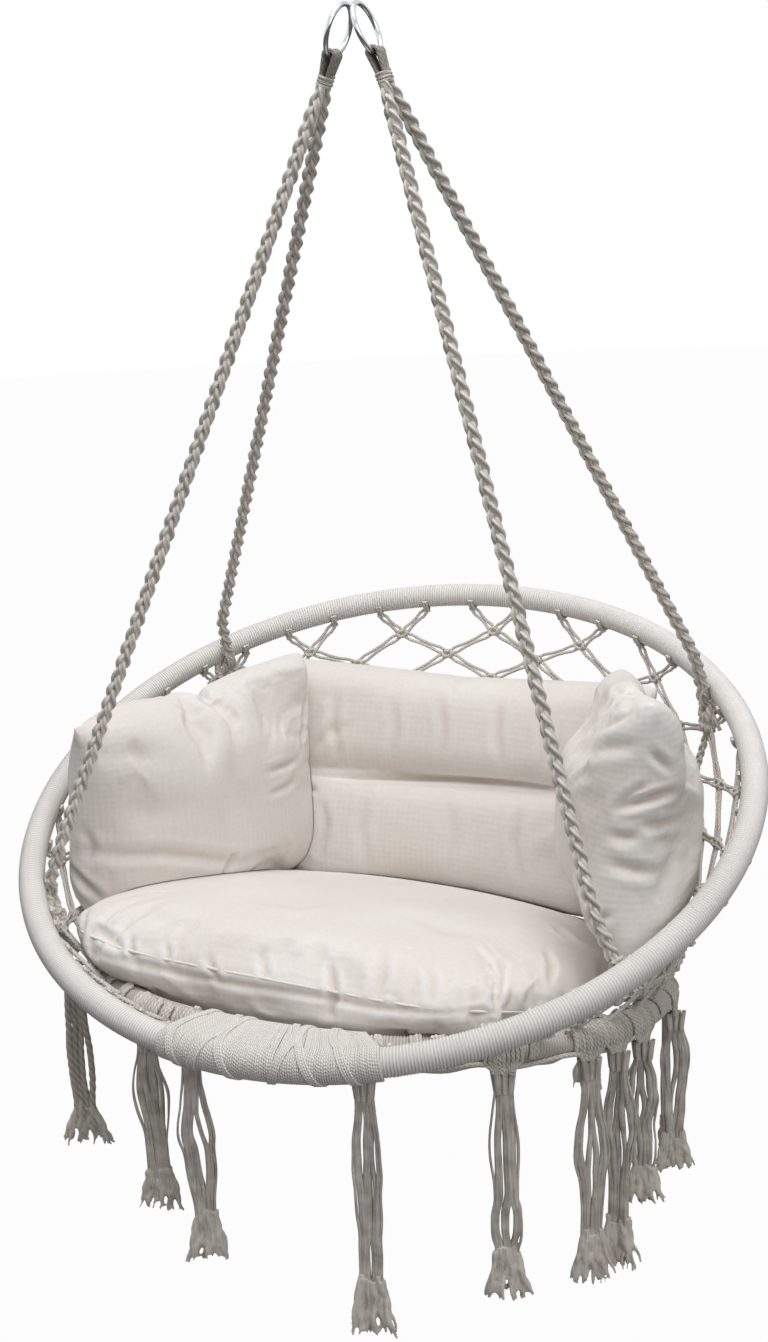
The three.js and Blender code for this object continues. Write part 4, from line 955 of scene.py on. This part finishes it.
fringe_cotton = loose_cotton("soft cotton fringe", "#E7E0D8", "#A69F97")
twisted_fringe = cotton_cord("twisted cotton fringe", "#DCD5CB", "#928A82", ply_pitch=0.010)
clump_cotton = loose_cotton("frayed cotton ends", "#F0E9E0", "#C2BAB0")
for number, (pivot, length) in enumerate(zip(tassel_pivots, tassel_lengths)):
    chance = np.random.default_rng(100 + number)
    length = length / 1000
    twisted = number == 0
    facing = chance.uniform(-0.5, 0.5) + math.atan2(pivot[1] + seat_forward, pivot[0]) + math.pi / 2
    if number <= 8:
        facing = chance.uniform(0.1, 0.6)
    wide = np.array([math.cos(facing), math.sin(facing), 0])
    deep = np.array([-math.sin(facing), math.cos(facing), 0])
    fall = np.array([0, 0, -1.0])
    strands = 4 if twisted else 8
    bend, bend_size = chance.uniform(0, 2 * math.pi), chance.uniform(*bend_sizes)
    # Long slits: each opens between two neighbouring strands over part of the length
    slits = [(chance.uniform(-0.7, 0.7), chance.uniform(0.25, 0.84), chance.uniform(0.08, 0.20),
              chance.uniform(*slit_openings)) for slit in range(1 if twisted else 4)]
    paths, frayed = [], []
    for strand in range(strands):
        share = 2 * strand / (strands - 1) - 1
        stray = abs(share) == 1 and not twisted
        own = length * chance.uniform(0.85, 0.91)
        sway, amount = chance.uniform(0, 2 * math.pi), chance.uniform(*wander_sizes)
        part, part_size = chance.uniform(0.25, 0.7), chance.uniform(*stray_sizes)
        layer = chance.uniform(-strand_half_layer, strand_half_layer)
        line, thick = [], []
        for step in range(0, 37):
            run = step / 36
            width = tassel_half_width * (1 - 0.12 * math.exp(-((run - 0.12) / 0.1) ** 2) + 0.12 * run)
            x = share * width + bend_size * math.sin(3.4 * run + bend) * run
            x += amount * math.sin(9 * run + sway)
            for place, middle, half, opening in slits:
                x += math.copysign(opening / 2, share - place) * math.exp(-(((run - middle) / half) ** 4))
            if stray:
                x += share * part_size * math.exp(-(((run - part) / 0.2) ** 4))
            y = layer + bunch_half_depth * math.cos(1.6 * share) + amount * math.sin(7 * run + 2 * sway)
            line.append(pivot + wide * x + deep * y + fall * (strand_start + (own - strand_start) * run))
            plain = stray_half_thickness if stray else strand_half_thickness
            thick.append(twisted_strand_radius if twisted else plain * (1 + 0.18 * math.sin(11 * run + sway)))
        paths.append((line, thick))
        root = np.array(line[-6])
        for fibre in range(9 if twisted else 4):
            aim = share * 0.9 + chance.uniform(-0.45, 0.45)
            reach = length - strand_start - own * 31 / 36 - chance.uniform(0, fray_uneven)
            bits = np.linspace(0, 1, 11)[:, None]
            curl = fray_curl * np.sin(bits * 8 + chance.uniform(0, 6))
            flare = aim * (twisted_flare if twisted else fray_flare)
            line = root + fall * reach * bits + wide * (flare * bits**1.2 + curl)
            line = line + deep * (chance.uniform(-1, 1) * fray_half_depth * bits**1.2 + curl)
            thin = fibre_half_thickness * (1 - 0.5 * bits[:, 0] ** 3) * chance.uniform(0.6, 1)
            frayed.append((line, thin))
    # The head: cords that fan from the hoop's loops into the bunch
    for strand in range(head_cords):
        share = 2 * strand / (head_cords - 1) - 1
        line = []
        for step in range(0, 11):
            run = step / 10
            line.append(pivot + wide * share * (head_half_width - head_taper * run)
                        + deep * head_half_depth * math.cos(2.2 * strand) * (1 - 0.3 * run)
                        + fall * (head_length * run - head_rise))
        paths.append((line, head_cord_radius))
    body = f"tassel_{number + 1:02d}"
    if twisted:
        bunch = lay_cords(f"{body}_strands", paths, twisted_fringe, sides=12, ply_depth=0.0004,
                          ply_pitch=0.010, seed=200)
    else:
        bunch = lay_cords(f"{body}_strands", paths, fringe_cotton, sides=10, plies=5, ply_depth=0.0003,
                          ply_pitch=0.16, seed=200 + number)
    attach(bunch, body)
    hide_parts(body)
    ends = lay_cords(f"{body}_frayed_ends", frayed, clump_cotton, sides=8, seed=300 + number)
    felt = ends.modifiers.new("felted", "REMESH")
    felt.mode = "VOXEL"
    felt.voxel_size = clump_voxel
    relax(settle(ends), 2)
    for face in ends.data.polygons:
        face.use_smooth = True
    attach(ends, body)


# Cushions: ecru canvas covers over loose fibre filling, slack enough to crease. The seat is a
# rounded shape with a sewn seam round its middle that shows as a thin raised edge.
seat_half_width = 0.280
seat_half_front = 0.276
seat_half_back = 0.246
seat_top = 0.050
seat_bottom = 0.066
seat_tilt_own = math.radians(-17)
seat_roll_own = math.radians(1.6)
seat_place = np.array([-0.005, -0.030, -0.951])
weave_pitch = 0.0066
hoop_room = 0.0160
lashing_room = 0.004
# The net's push on a cover fades out over this depth below the upper hoop, and ends below the seat hoop
net_start, net_fade, net_below = 0.004, 0.016, 0.03


def canvas(name, light, dark):
    """Plain-woven cotton canvas, washed. Its threads are under 1 mm apart, too fine to show, so
    they are drawn as soft bands 6.6 mm apart. Matt, with painted warm shade in its folds and hollows."""
    material, tree = blank_material(name)
    where = add_node(tree, "ShaderNodeTexCoord")
    threads = 0.0
    for direction in ("X", "Y", "Z"):
        # At scale 1 a wave texture's bands are pi / 10 apart
        wave = add_node(tree, "ShaderNodeTexWave", {"Vector": where.outputs["Object"]}, wave_type="BANDS",
                        bands_direction=direction, Scale=math.pi / 10 / weave_pitch, Distortion=1.6,
                        Detail=2.0, Detail_Scale=2.4)
        threads = add_node(tree, "ShaderNodeMath", {0: threads, 1: wave.outputs["Fac"]}, operation="ADD")
    slub = add_node(tree, "ShaderNodeTexNoise", {"Vector": where.outputs["Object"]}, Scale=260.0, Detail=4.0)
    cloud = add_node(tree, "ShaderNodeTexNoise", {"Vector": where.outputs["Object"]}, Scale=7.0, Detail=4.0)
    rumple = add_node(tree, "ShaderNodeTexNoise", {"Vector": where.outputs["Object"]}, Scale=26.0, Detail=3.0)
    # Painted shade: hollow, creased parts of the cover are pushed toward the dark warm colour
    hollow = add_node(tree, "ShaderNodeNewGeometry")
    painted_fold_shade = add_node(tree, "ShaderNodeMapRange", {"Value": hollow.outputs["Pointiness"]}, From_Min=0.44,
                    From_Max=0.52)
    first = add_node(tree, "ShaderNodeMath", {0: cloud.outputs["Fac"], 1: 0.5}, operation="MULTIPLY")
    second = add_node(tree, "ShaderNodeMath", {0: painted_fold_shade, 1: 0.45}, operation="MULTIPLY")
    level = add_node(tree, "ShaderNodeMath", {0: first, 1: second}, operation="ADD")
    speck = add_node(tree, "ShaderNodeMath", {0: slub.outputs["Fac"], 1: 0.30}, operation="MULTIPLY")
    level = add_node(tree, "ShaderNodeMath", {0: level, 1: speck}, operation="ADD", use_clamp=True)
    tint = add_node(tree, "ShaderNodeValToRGB", {"Fac": level})
    tint.color_ramp.elements[0].color = linear(dark)
    tint.color_ramp.elements[1].color = linear(light)
    fine = add_node(tree, "ShaderNodeMath", {0: threads, 1: 0.13}, operation="MULTIPLY")
    crumple = add_node(tree, "ShaderNodeTexNoise", {"Vector": where.outputs["Object"]},
                       noise_type="RIDGED_MULTIFRACTAL", Scale=11.0, Detail=2.0)
    both = add_node(tree, "ShaderNodeMath", {0: rumple.outputs["Fac"], 1: crumple.outputs["Fac"]},
                    operation="ADD")
    coarse = add_node(tree, "ShaderNodeMath", {0: both, 1: 0.9}, operation="MULTIPLY")
    height = add_node(tree, "ShaderNodeMath", {0: fine, 1: coarse}, operation="ADD")
    bumps = add_node(tree, "ShaderNodeBump", {"Height": height}, Strength=0.35, Distance=0.002)
    cloth = add_node(tree, "ShaderNodeBsdfPrincipled", {"Base Color": tint, "Normal": bumps}, Roughness=0.95,
                     Specular_IOR_Level=0.15, Sheen_Weight=0.06, Sheen_Roughness=0.5)
    add_node(tree, "ShaderNodeOutputMaterial", {"Surface": cloth})
    return material


# The dark colour serves both the canvas's random tone patches and the painted shade in its folds
ecru = canvas("washed ecru cotton canvas", "#EAE7E5", "#C9B7A4")


def crown(share):
    """A stuffed cover's thickness between its seams, from 0 at the edge to 1 at the middle."""
    return max(1 - abs(share) ** 4, 0.0) ** 0.55


def spin(points, axis, angle):
    turn = np.array(Matrix.Rotation(angle, 3, axis))
    return points @ turn.T


def cover_mesh(name, points, faces):
    mesh = bpy.data.meshes.new(name)
    mesh.from_pydata(np.asarray(points).tolist(), [], faces)
    mesh.validate()
    return new_piece(name, mesh)


def pillow(columns, rows, place_of):
    """A closed pillow from place_of(across, up, face), whose face and back share their edge."""
    points, faces, numbers = [], [], {}

    def number_of(column, row, face):
        edge = column in (0, columns) or row in (0, rows)
        key = (column, row, 0 if edge else face)
        if key not in numbers:
            numbers[key] = len(points)
            across = math.sin((column / columns - 0.5) * math.pi)
            up = math.sin((row / rows - 0.5) * math.pi)
            points.append(place_of(across, up, key[2]))
        return numbers[key]

    for face in (1, -1):
        for column in range(columns):
            for row in range(rows):
                corners = [number_of(column, row, face), number_of(column + 1, row, face),
                           number_of(column + 1, row + 1, face), number_of(column, row + 1, face)]
                faces.append(corners if face > 0 else corners[::-1])
    return np.array(points), faces


def hoop_push(points, reach):
    """Moves points that are within reach of a hoop's centre line out to that distance."""
    for tilt, radius, forward, drop in ((upper_tilt, upper_radius, 0.0, upper_drop),
                                        (seat_tilt, seat_radius, seat_forward, seat_drop)):
        local = spin(points + [0, forward, drop], "X", -tilt)
        flat = np.hypot(local[:, 0], local[:, 1])
        near = np.stack([local[:, 0] / flat * radius, local[:, 1] / flat * radius, np.zeros(len(flat))], 1)
        apart = local - near
        distance = np.linalg.norm(apart, axis=1)
        lashed = (local[:, 1] < -0.6 * radius) & (np.abs(local[:, 0]) < 0.45 * radius)
        limit = np.where(lashed, reach + lashing_room, reach)
        inside = distance < limit
        apart[inside] *= (limit[inside] / np.maximum(distance[inside], 1e-6))[:, None]
        points = spin(near + apart, "X", tilt) - [0, forward, drop]
    return points


def bed_push(points, lift=0.007):
    """Lifts points that lie under the seat net's bowl onto it."""
    local = spin(points + [0, seat_forward, seat_drop], "X", -seat_tilt)
    flat = np.hypot(local[:, 0], local[:, 1])
    bed_height = lift - seat_net_sag * (1 - np.minimum(flat / seat_radius, 1.0) ** 2)
    local[:, 2] = np.maximum(local[:, 2], bed_height)
    return spin(local, "X", seat_tilt) - [0, seat_forward, seat_drop]


def net_push(points, clear=0.0075):
    """Moves points that lean through the side net back to its inner side."""
    angles = np.degrees(np.arctan2(points[:, 1] + 0.01, points[:, 0]))
    for attempt in range(2):
        apart = np.sum((points - upper_point(angles)) * tangent(upper_point, angles), 1)
        angles = angles + np.degrees(apart / upper_radius)
    top = upper_point(angles)
    fall = seat_point(angles) - top
    inward = unit(np.cross(tangent(upper_point, angles), fall))
    depth = np.sum((points - top) * unit(fall), 1)
    through = np.maximum(clear - np.sum((points - top) * inward, 1), 0)
    through[(depth < -net_start) | (depth > np.linalg.norm(fall, axis=1) + net_below)] = 0
    return points + inward * (through * np.clip((depth + net_start) / net_fade, 0, 1))[:, None]


def coordinates(mesh):
    flat = np.empty(len(mesh.vertices) * 3)
    mesh.vertices.foreach_get("co", flat)
    return flat.reshape(-1, 3)


def put(mesh, points):
    mesh.vertices.foreach_set("co", np.asarray(points).ravel())
    mesh.update()


def clear_of(points, neighbours, gap=0.0007):
    """Moves points that lie in a neighbour out to just off its surface."""
    for other in neighbours:
        surface = BVHTree.FromObject(other, bpy.context.evaluated_depsgraph_get())
        low, high = coordinates(other.data).min(0) - gap, coordinates(other.data).max(0) + gap
        for index in np.flatnonzero(np.all((points > low) & (points < high), 1)):
            place, normal, face, distance = surface.find_nearest(Vector(points[index]), 0.05)
            if place is not None and (Vector(points[index]) - place).dot(normal) < gap:
                points[index] = place + normal * gap
    return points


photo_focal = 1684.4
photo_centre = (384, 671)


def on_cover(cover, spots, finer=6):
    """The points of a cover that show along a line of the photograph's pixels."""
    surface = BVHTree.FromObject(cover, bpy.context.evaluated_depsgraph_get())
    found = []
    for (x0, y0), (x1, y1) in zip(spots, spots[1:]):
        for share in np.linspace(0, 1, finer + 1)[(1 if found else 0):]:
            x, y = x0 + (x1 - x0) * share - photo_centre[0], y0 + (y1 - y0) * share - photo_centre[1]
            sight = camera_right * x - camera_up * y - camera_back * photo_focal
            place, normal, face, distance = surface.ray_cast(camera_place, sight.normalized())
            if place is not None:
                found.append(np.array(place))
    return np.array(found)


def crease(cover, spots, depth, width):
    """Presses a crease into a cover where the photograph shows one, and lifts its two shoulders.
    A depth below 0 raises a ridge."""
    trail = on_cover(cover, spots)
    if len(trail) < 2:
        return
    mesh = cover.data
    points = coordinates(mesh)
    normals = np.empty(points.size)
    mesh.vertex_normals.foreach_get("vector", normals)
    nearest, reached = np.full(len(points), 1.0), np.zeros(len(points))
    for number in range(len(trail) - 1):
        way = trail[number + 1] - trail[number]
        share = np.clip((points - trail[number]) @ way / max(way @ way, 1e-12), 0, 1)
        apart = np.linalg.norm(points - trail[number] - share[:, None] * way, axis=1)
        closer = apart < nearest
        nearest[closer] = apart[closer]
        reached[closer] = (number + share[closer]) / (len(trail) - 1)
    fade = np.sin(np.pi * np.clip(reached, 0.02, 0.98)) ** 0.6
    press = 0.22 * np.exp(-((nearest / width - 2.1) / 0.9) ** 2) - np.exp(-((nearest / width) ** 2))
    put(mesh, points + normals.reshape(-1, 3) * (depth * fade * press)[:, None])


def tug(cover, spot, reach, move):
    """Draws the part of a cover round one pixel of the photograph by a few millimetres."""
    places = on_cover(cover, [spot, spot])
    if len(places):
        points = coordinates(cover.data)
        near = np.exp(-(np.linalg.norm(points - places[0], axis=1) / reach) ** 2)
        put(cover.data, points + near[:, None] * move)


def stuff(piece, cap, slack, bed=False, net=False, neighbours=(), cuts=(), voxel=0.0049, creases=(), tugs=()):
    """Makes a cover from a closed form: cut clear of its neighbours, meshed evenly, blown up as
    slack cloth with a limit on how far it moves, drawn and creased as in the photograph, and set
    back off whatever it would run into."""
    for other in cuts:
        cut = piece.modifiers.new("cut", "BOOLEAN")
        cut.operation = "DIFFERENCE"
        cut.object = other
        cut.solver = "EXACT"
        settle(piece)
    remesh = piece.modifiers.new("even cloth", "REMESH")
    remesh.mode = "VOXEL"
    remesh.voxel_size = voxel
    settle(piece)
    relax(piece, 5)
    rest = coordinates(piece.data)
    cloth = piece.modifiers.new("stuffing", "CLOTH")
    cloth.settings.quality = 5
    cloth.settings.mass = 0.15
    cloth.settings.tension_stiffness = 12
    cloth.settings.compression_stiffness = 8
    cloth.settings.shear_stiffness = 4
    cloth.settings.bending_stiffness = 0.12
    cloth.settings.use_pressure = True
    cloth.settings.uniform_pressure_force = 2.4
    cloth.settings.shrink_min = -slack
    cloth.settings.shrink_max = -slack
    cloth.settings.effector_weights.gravity = 0.0
    cloth.collision_settings.use_collision = False
    cloth.collision_settings.use_self_collision = False
    for step in range(1, 21):
        bpy.context.scene.frame_set(step)
    settle(piece)
    bpy.context.scene.frame_set(1)
    moved = coordinates(piece.data) - rest
    far = np.linalg.norm(moved, axis=1)
    share = cap * np.tanh(far / cap) / np.maximum(far, 1e-9)
    put(piece.data, rest + moved * share[:, None])
    finer = piece.modifiers.new("finer", "SUBSURF")
    finer.levels = finer.render_levels = 1
    settle(piece)
    for spot, reach, move in tugs:
        tug(piece, spot, reach / 1000, np.array(move) / 1000)
    for spots, depth, width in creases:
        crease(piece, spots, depth / 1000, width / 1000)
    points = hoop_push(coordinates(piece.data), hoop_room)
    if bed:
        points = bed_push(points)
    if net:
        points = net_push(points)
    put(piece.data, clear_of(points, neighbours))
    piece.data.materials.clear()
    piece.data.materials.append(ecru)
    for face in piece.data.polygons:
        face.use_smooth = True
    return piece


# Corners of the covers that the photograph shows drawn out or sunk: a pixel on the corner, the
# reach and the move in millimetres.
seat_tugs = (((100, 915), 45, (-14, -2, 5)), ((112, 946), 40, (-8, -3, 0)))
left_tugs = (((76, 726), 55, (10, 4, -17)), ((288, 666), 34, (12, 5, 1)))
right_tugs = (((632, 690), 30, (2, 0, 5)), ((598, 902), 30, (-9, -4, -7)))
back_tugs = (((566, 893), 26, (7, -3, -7)),)

# Creases of the covers: the photograph's pixels that each runs through, its depth and its width
# in millimetres. A depth below 0 is a ridge.
seat_creases = (
    (((132, 936), (131, 946), (133, 957)), 4, 3.3),
    (((166, 940), (168, 954), (165, 966)), 2.9, 3.3),
    (((209, 956), (212, 970), (219, 984)), 4.2, 3.7),
    (((262, 950), (264, 968), (266, 982)), 2.9, 4.1),
    (((330, 962), (333, 990), (329, 1024)), 5.4, 4.1),
    (((385, 942), (381, 975), (376, 1006)), 3.8, 5.7),
    (((430, 966), (434, 984), (432, 1004)), 2.6, 4.1),
    (((503, 958), (499, 980), (497, 1004)), 4.8, 3.7),
    (((546, 948), (552, 964), (550, 984)), 3.5, 4.1),
    (((556, 926), (570, 940), (592, 951)), 8, 4.9),
    (((240, 905), (300, 914), (352, 908)), -2.6, 14),
    (((150, 912), (176, 922), (204, 920)), 2.9, 11),
    (((410, 915), (452, 932), (500, 934)), 2.9, 13),
    (((92, 953), (124, 960), (189, 976), (253, 987), (330, 998), (369, 1007), (439, 1014), (500, 1012)),
     2.4, 3.6),
    (((96, 930), (110, 938), (122, 950)), 3.8, 4.9),
)
left_creases = (
    (((298, 759), (286, 765), (268, 771)), 5.1, 4.1),
    (((296, 779), (284, 787), (270, 793)), 4.2, 4.1),
    (((76, 851), (120, 854), (162, 852), (200, 856), (240, 861), (288, 846)), 5.4, 6.6),
    (((236, 851), (228, 868), (216, 888)), 4.5, 4.9),
    (((70, 868), (84, 884), (104, 901)), 6.1, 4.9),
    (((208, 696), (226, 708), (247, 726)), 3.2, 9),
    (((98, 762), (130, 752), (168, 756)), 3.2, 12),
    (((122, 800), (150, 812), (196, 806)), 2.9, 14),
    (((240, 742), (236, 780), (248, 820)), 2.6, 12),
    (((84, 830), (92, 846), (88, 866)), 3.8, 5.7),
    (((260, 868), (244, 876), (226, 880)), 3.8, 4.9),
    (((307, 690), (304, 722), (301, 752)), 3.8, 4.9),
)
back_creases = (
    (((304, 774), (360, 777), (420, 778), (455, 779), (490, 781), (530, 785), (562, 790)), 5.5, 3.4),
    (((337, 694), (334, 724), (338, 760)), 3.2, 5.7),
    (((394, 700), (396, 730), (392, 762)), 2.9, 5.7),
    (((440, 696), (444, 730), (441, 764)), 2.9, 5.7),
    (((500, 704), (497, 736), (501, 768)), 3.2, 5.7),
    (((542, 710), (545, 742), (540, 774)), 3.2, 5.7),
    (((322, 800), (326, 826), (320, 862)), 3.2, 5.7),
    (((366, 796), (362, 830), (368, 868)), 2.6, 6.6),
    (((450, 800), (454, 836), (449, 876)), 2.6, 9),
    (((520, 806), (516, 842), (522, 886)), 3.2, 6.6),
    (((300, 783), (306, 786), (316, 792)), 4.8, 4.1),
)
right_creases = (
    (((616, 809), (646, 800), (678, 791)), 8, 4.1),
    (((640, 827), (662, 824), (684, 819)), 4.2, 4.9),
    (((608, 835), (624, 838), (640, 837)), 3.8, 4.9),
    (((608, 864), (634, 870), (660, 873)), 4.8, 5.7),
    (((584, 923), (596, 920), (610, 915)), 4.5, 4.1),
    (((618, 803), (632, 794), (648, 785)), 3.8, 4.1),
    (((588, 751), (612, 747), (636, 745)), 3.5, 6.6),
    (((602, 727), (616, 720), (632, 711)), 3.5, 5.7),
    (((628, 684), (632, 698), (630, 712)), 2.0, 5.7),
    (((652, 752), (662, 762), (672, 770)), 4.8, 4.1),
    (((566, 800), (576, 836), (572, 880)), 3.5, 10),
    (((676, 846), (668, 874), (654, 902)), 3.2, 9),
)


def seat_rim(angle):
    power = 3.2 if math.sin(angle) < 0 else 2.3
    depth = seat_half_front if math.sin(angle) < 0 else seat_half_back
    reach = (abs(math.cos(angle)) ** power + abs(math.sin(angle)) ** power) ** (-1 / power)
    return np.array([seat_half_width * reach * math.cos(angle), depth * reach * math.sin(angle), 0])


# A form starts a little smaller than its cushion, which the stuffing then swells
shrink = 0.985
points, faces = [], []
seat_spokes, seat_rings = 96, 22
for face, height in ((1, seat_top), (-1, seat_bottom)):
    for ring in range(seat_rings):
        share = math.cos(ring / seat_rings * math.pi / 2)
        for spoke in range(seat_spokes):
            if face < 0 and ring == 0:
                continue
            rim = seat_rim(2 * math.pi * spoke / seat_spokes) * share * shrink
            points.append([rim[0], rim[1], face * height * crown(share) * 0.92])
    points.append([0, 0, face * height * 0.92])
top_pole = seat_rings * seat_spokes


def seat_number(face, ring, spoke):
    spoke %= seat_spokes
    if ring == 0:
        return spoke
    return spoke + (ring * seat_spokes if face > 0 else top_pole + 1 + (ring - 1) * seat_spokes)


for face in (1, -1):
    for ring in range(seat_rings - 1):
        for spoke in range(seat_spokes):
            corners = [seat_number(face, ring, spoke), seat_number(face, ring, spoke + 1),
                       seat_number(face, ring + 1, spoke + 1), seat_number(face, ring + 1, spoke)]
            faces.append(corners if face > 0 else corners[::-1])
    pole = top_pole if face > 0 else len(points) - 1
    for spoke in range(seat_spokes):
        corners = [seat_number(face, seat_rings - 1, spoke), seat_number(face, seat_rings - 1, spoke + 1),
                   pole]
        faces.append(corners if face > 0 else corners[::-1])
points = spin(spin(np.array(points), "Y", seat_roll_own), "X", seat_tilt_own) + seat_place
points = hoop_push(bed_push(points), hoop_room)
seat = stuff(cover_mesh("seat_cushion_cover", points, faces), cap=0.009, slack=0.06, bed=True,
             creases=seat_creases, tugs=seat_tugs)
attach(seat, "chair")
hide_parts("seat_cushion")


def seam_cord(name, cover, middle, directions, radius=0.0014):
    """A sewn seam's raised edge: a thin roll of canvas that follows the cover's own surface."""
    surface = BVHTree.FromObject(cover, bpy.context.evaluated_depsgraph_get())
    line = []
    for direction in directions:
        start = Vector(middle) + Vector(direction) * 0.6
        place, normal, face, distance = surface.ray_cast(start, -Vector(direction))
        if place is not None:
            line.append(np.array(place) - np.array(direction) * radius * 0.4)
    line = np.array(line)
    for attempt in range(3):
        line = (np.roll(line, 1, 0) + 2 * line + np.roll(line, -1, 0)) / 4
    return lay_cords(name, [(line, radius)], ecru, sides=8, closed=True)


rims = np.array([seat_rim(angle) for angle in np.linspace(0, 2 * math.pi, 241)[:-1]])
directions = unit(spin(spin(rims, "Y", seat_roll_own), "X", seat_tilt_own))
seat_seam = seam_cord("seat_cushion_seam", seat, seat_place, directions)
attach(seat_seam, "chair")


# Side cushions: two like pillows that stand against the net and rest on the seat cushion. The
# left one sits lower with its back corner drawn out and creased, the right one leans down to the front.
side_half_length = 0.175
side_half_height = 0.128
side_half_thickness = 0.066


def side_place(points, side, out, behind, drop, lean, turn, roll):
    points = spin(points, "X", math.pi / 2)
    points = spin(points, "Y", math.radians(roll))
    points = spin(points, "X", math.radians(-lean))
    points = spin(points, "Z", math.radians(-side * (90 - turn)))
    return points + [side * out, behind, -upper_drop - drop]


def side_form(across, up, face):
    wide = side_half_length * shrink * (1 - 0.07 * (1 - up**2))
    tall = side_half_height * shrink * (1 - 0.07 * (1 - across**2))
    return [across * wide, up * tall, face * side_half_thickness * 0.9 * crown(across) * crown(up)]


sides = []
# The settings are those of side_place, in metres and degrees
for label, settings, folds, tugs in (
    ("left", (-1, 0.242, 0.014, 0.036, 1, 19, 2), left_creases, left_tugs),
    ("right", (1, 0.258, 0.022, 0.004, 4, 19, -11), right_creases, right_tugs),
):
    points, faces = pillow(64, 52, side_form)
    points = net_push(hoop_push(side_place(points, *settings), hoop_room))
    cover = cover_mesh(f"side_cushion_{label}_cover", points, faces)
    cover = stuff(cover, cap=0.012, slack=0.11, net=True, cuts=[seat], neighbours=[seat], creases=folds,
                  tugs=tugs)
    sides.append(cover)
    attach(cover, "chair")
    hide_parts(f"side_cushion_{label}")


# Back cushion: one wide cover sewn across into two tiers, bent round the back of the net.
back_half_width = 0.238
back_half_height = 0.134
back_half_thickness = 0.060
back_bend = 0.052
back_lean = math.radians(-20)
back_place = np.array([0, 0.222, -upper_drop - 0.072])
# The seam between the tiers lies a little above the middle and rises to the right
back_seam, back_seam_rise = 7 / 134, 0.020


def back_form(across, up, face):
    wide = back_half_width * shrink * (1 - 0.07 * (1 - up**2))
    tall = back_half_height * shrink * (1 - 0.07 * (1 - across**2))
    seam = back_seam + back_seam_rise * across
    span = 1 - seam if up > seam else 1 + seam
    from_seam = 2 * abs(up - seam) / span - 1
    full = crown(from_seam)
    tier = 0.30 + 0.70 * full if from_seam < 0 else full
    deep = face * back_half_thickness * 0.92 * crown(across) * tier
    return [across * wide, up * tall, deep + back_bend * across**2]


points, faces = pillow(84, 72, back_form)
points = spin(spin(points, "X", math.pi / 2), "X", back_lean) + back_place
points = net_push(points)
back = cover_mesh("back_cushion_cover", points, faces)
back = stuff(back, cap=0.010, slack=0.09, net=True, cuts=[seat] + sides, neighbours=[seat] + sides,
             creases=back_creases, tugs=back_tugs)
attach(back, "chair")
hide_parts("back_cushion")
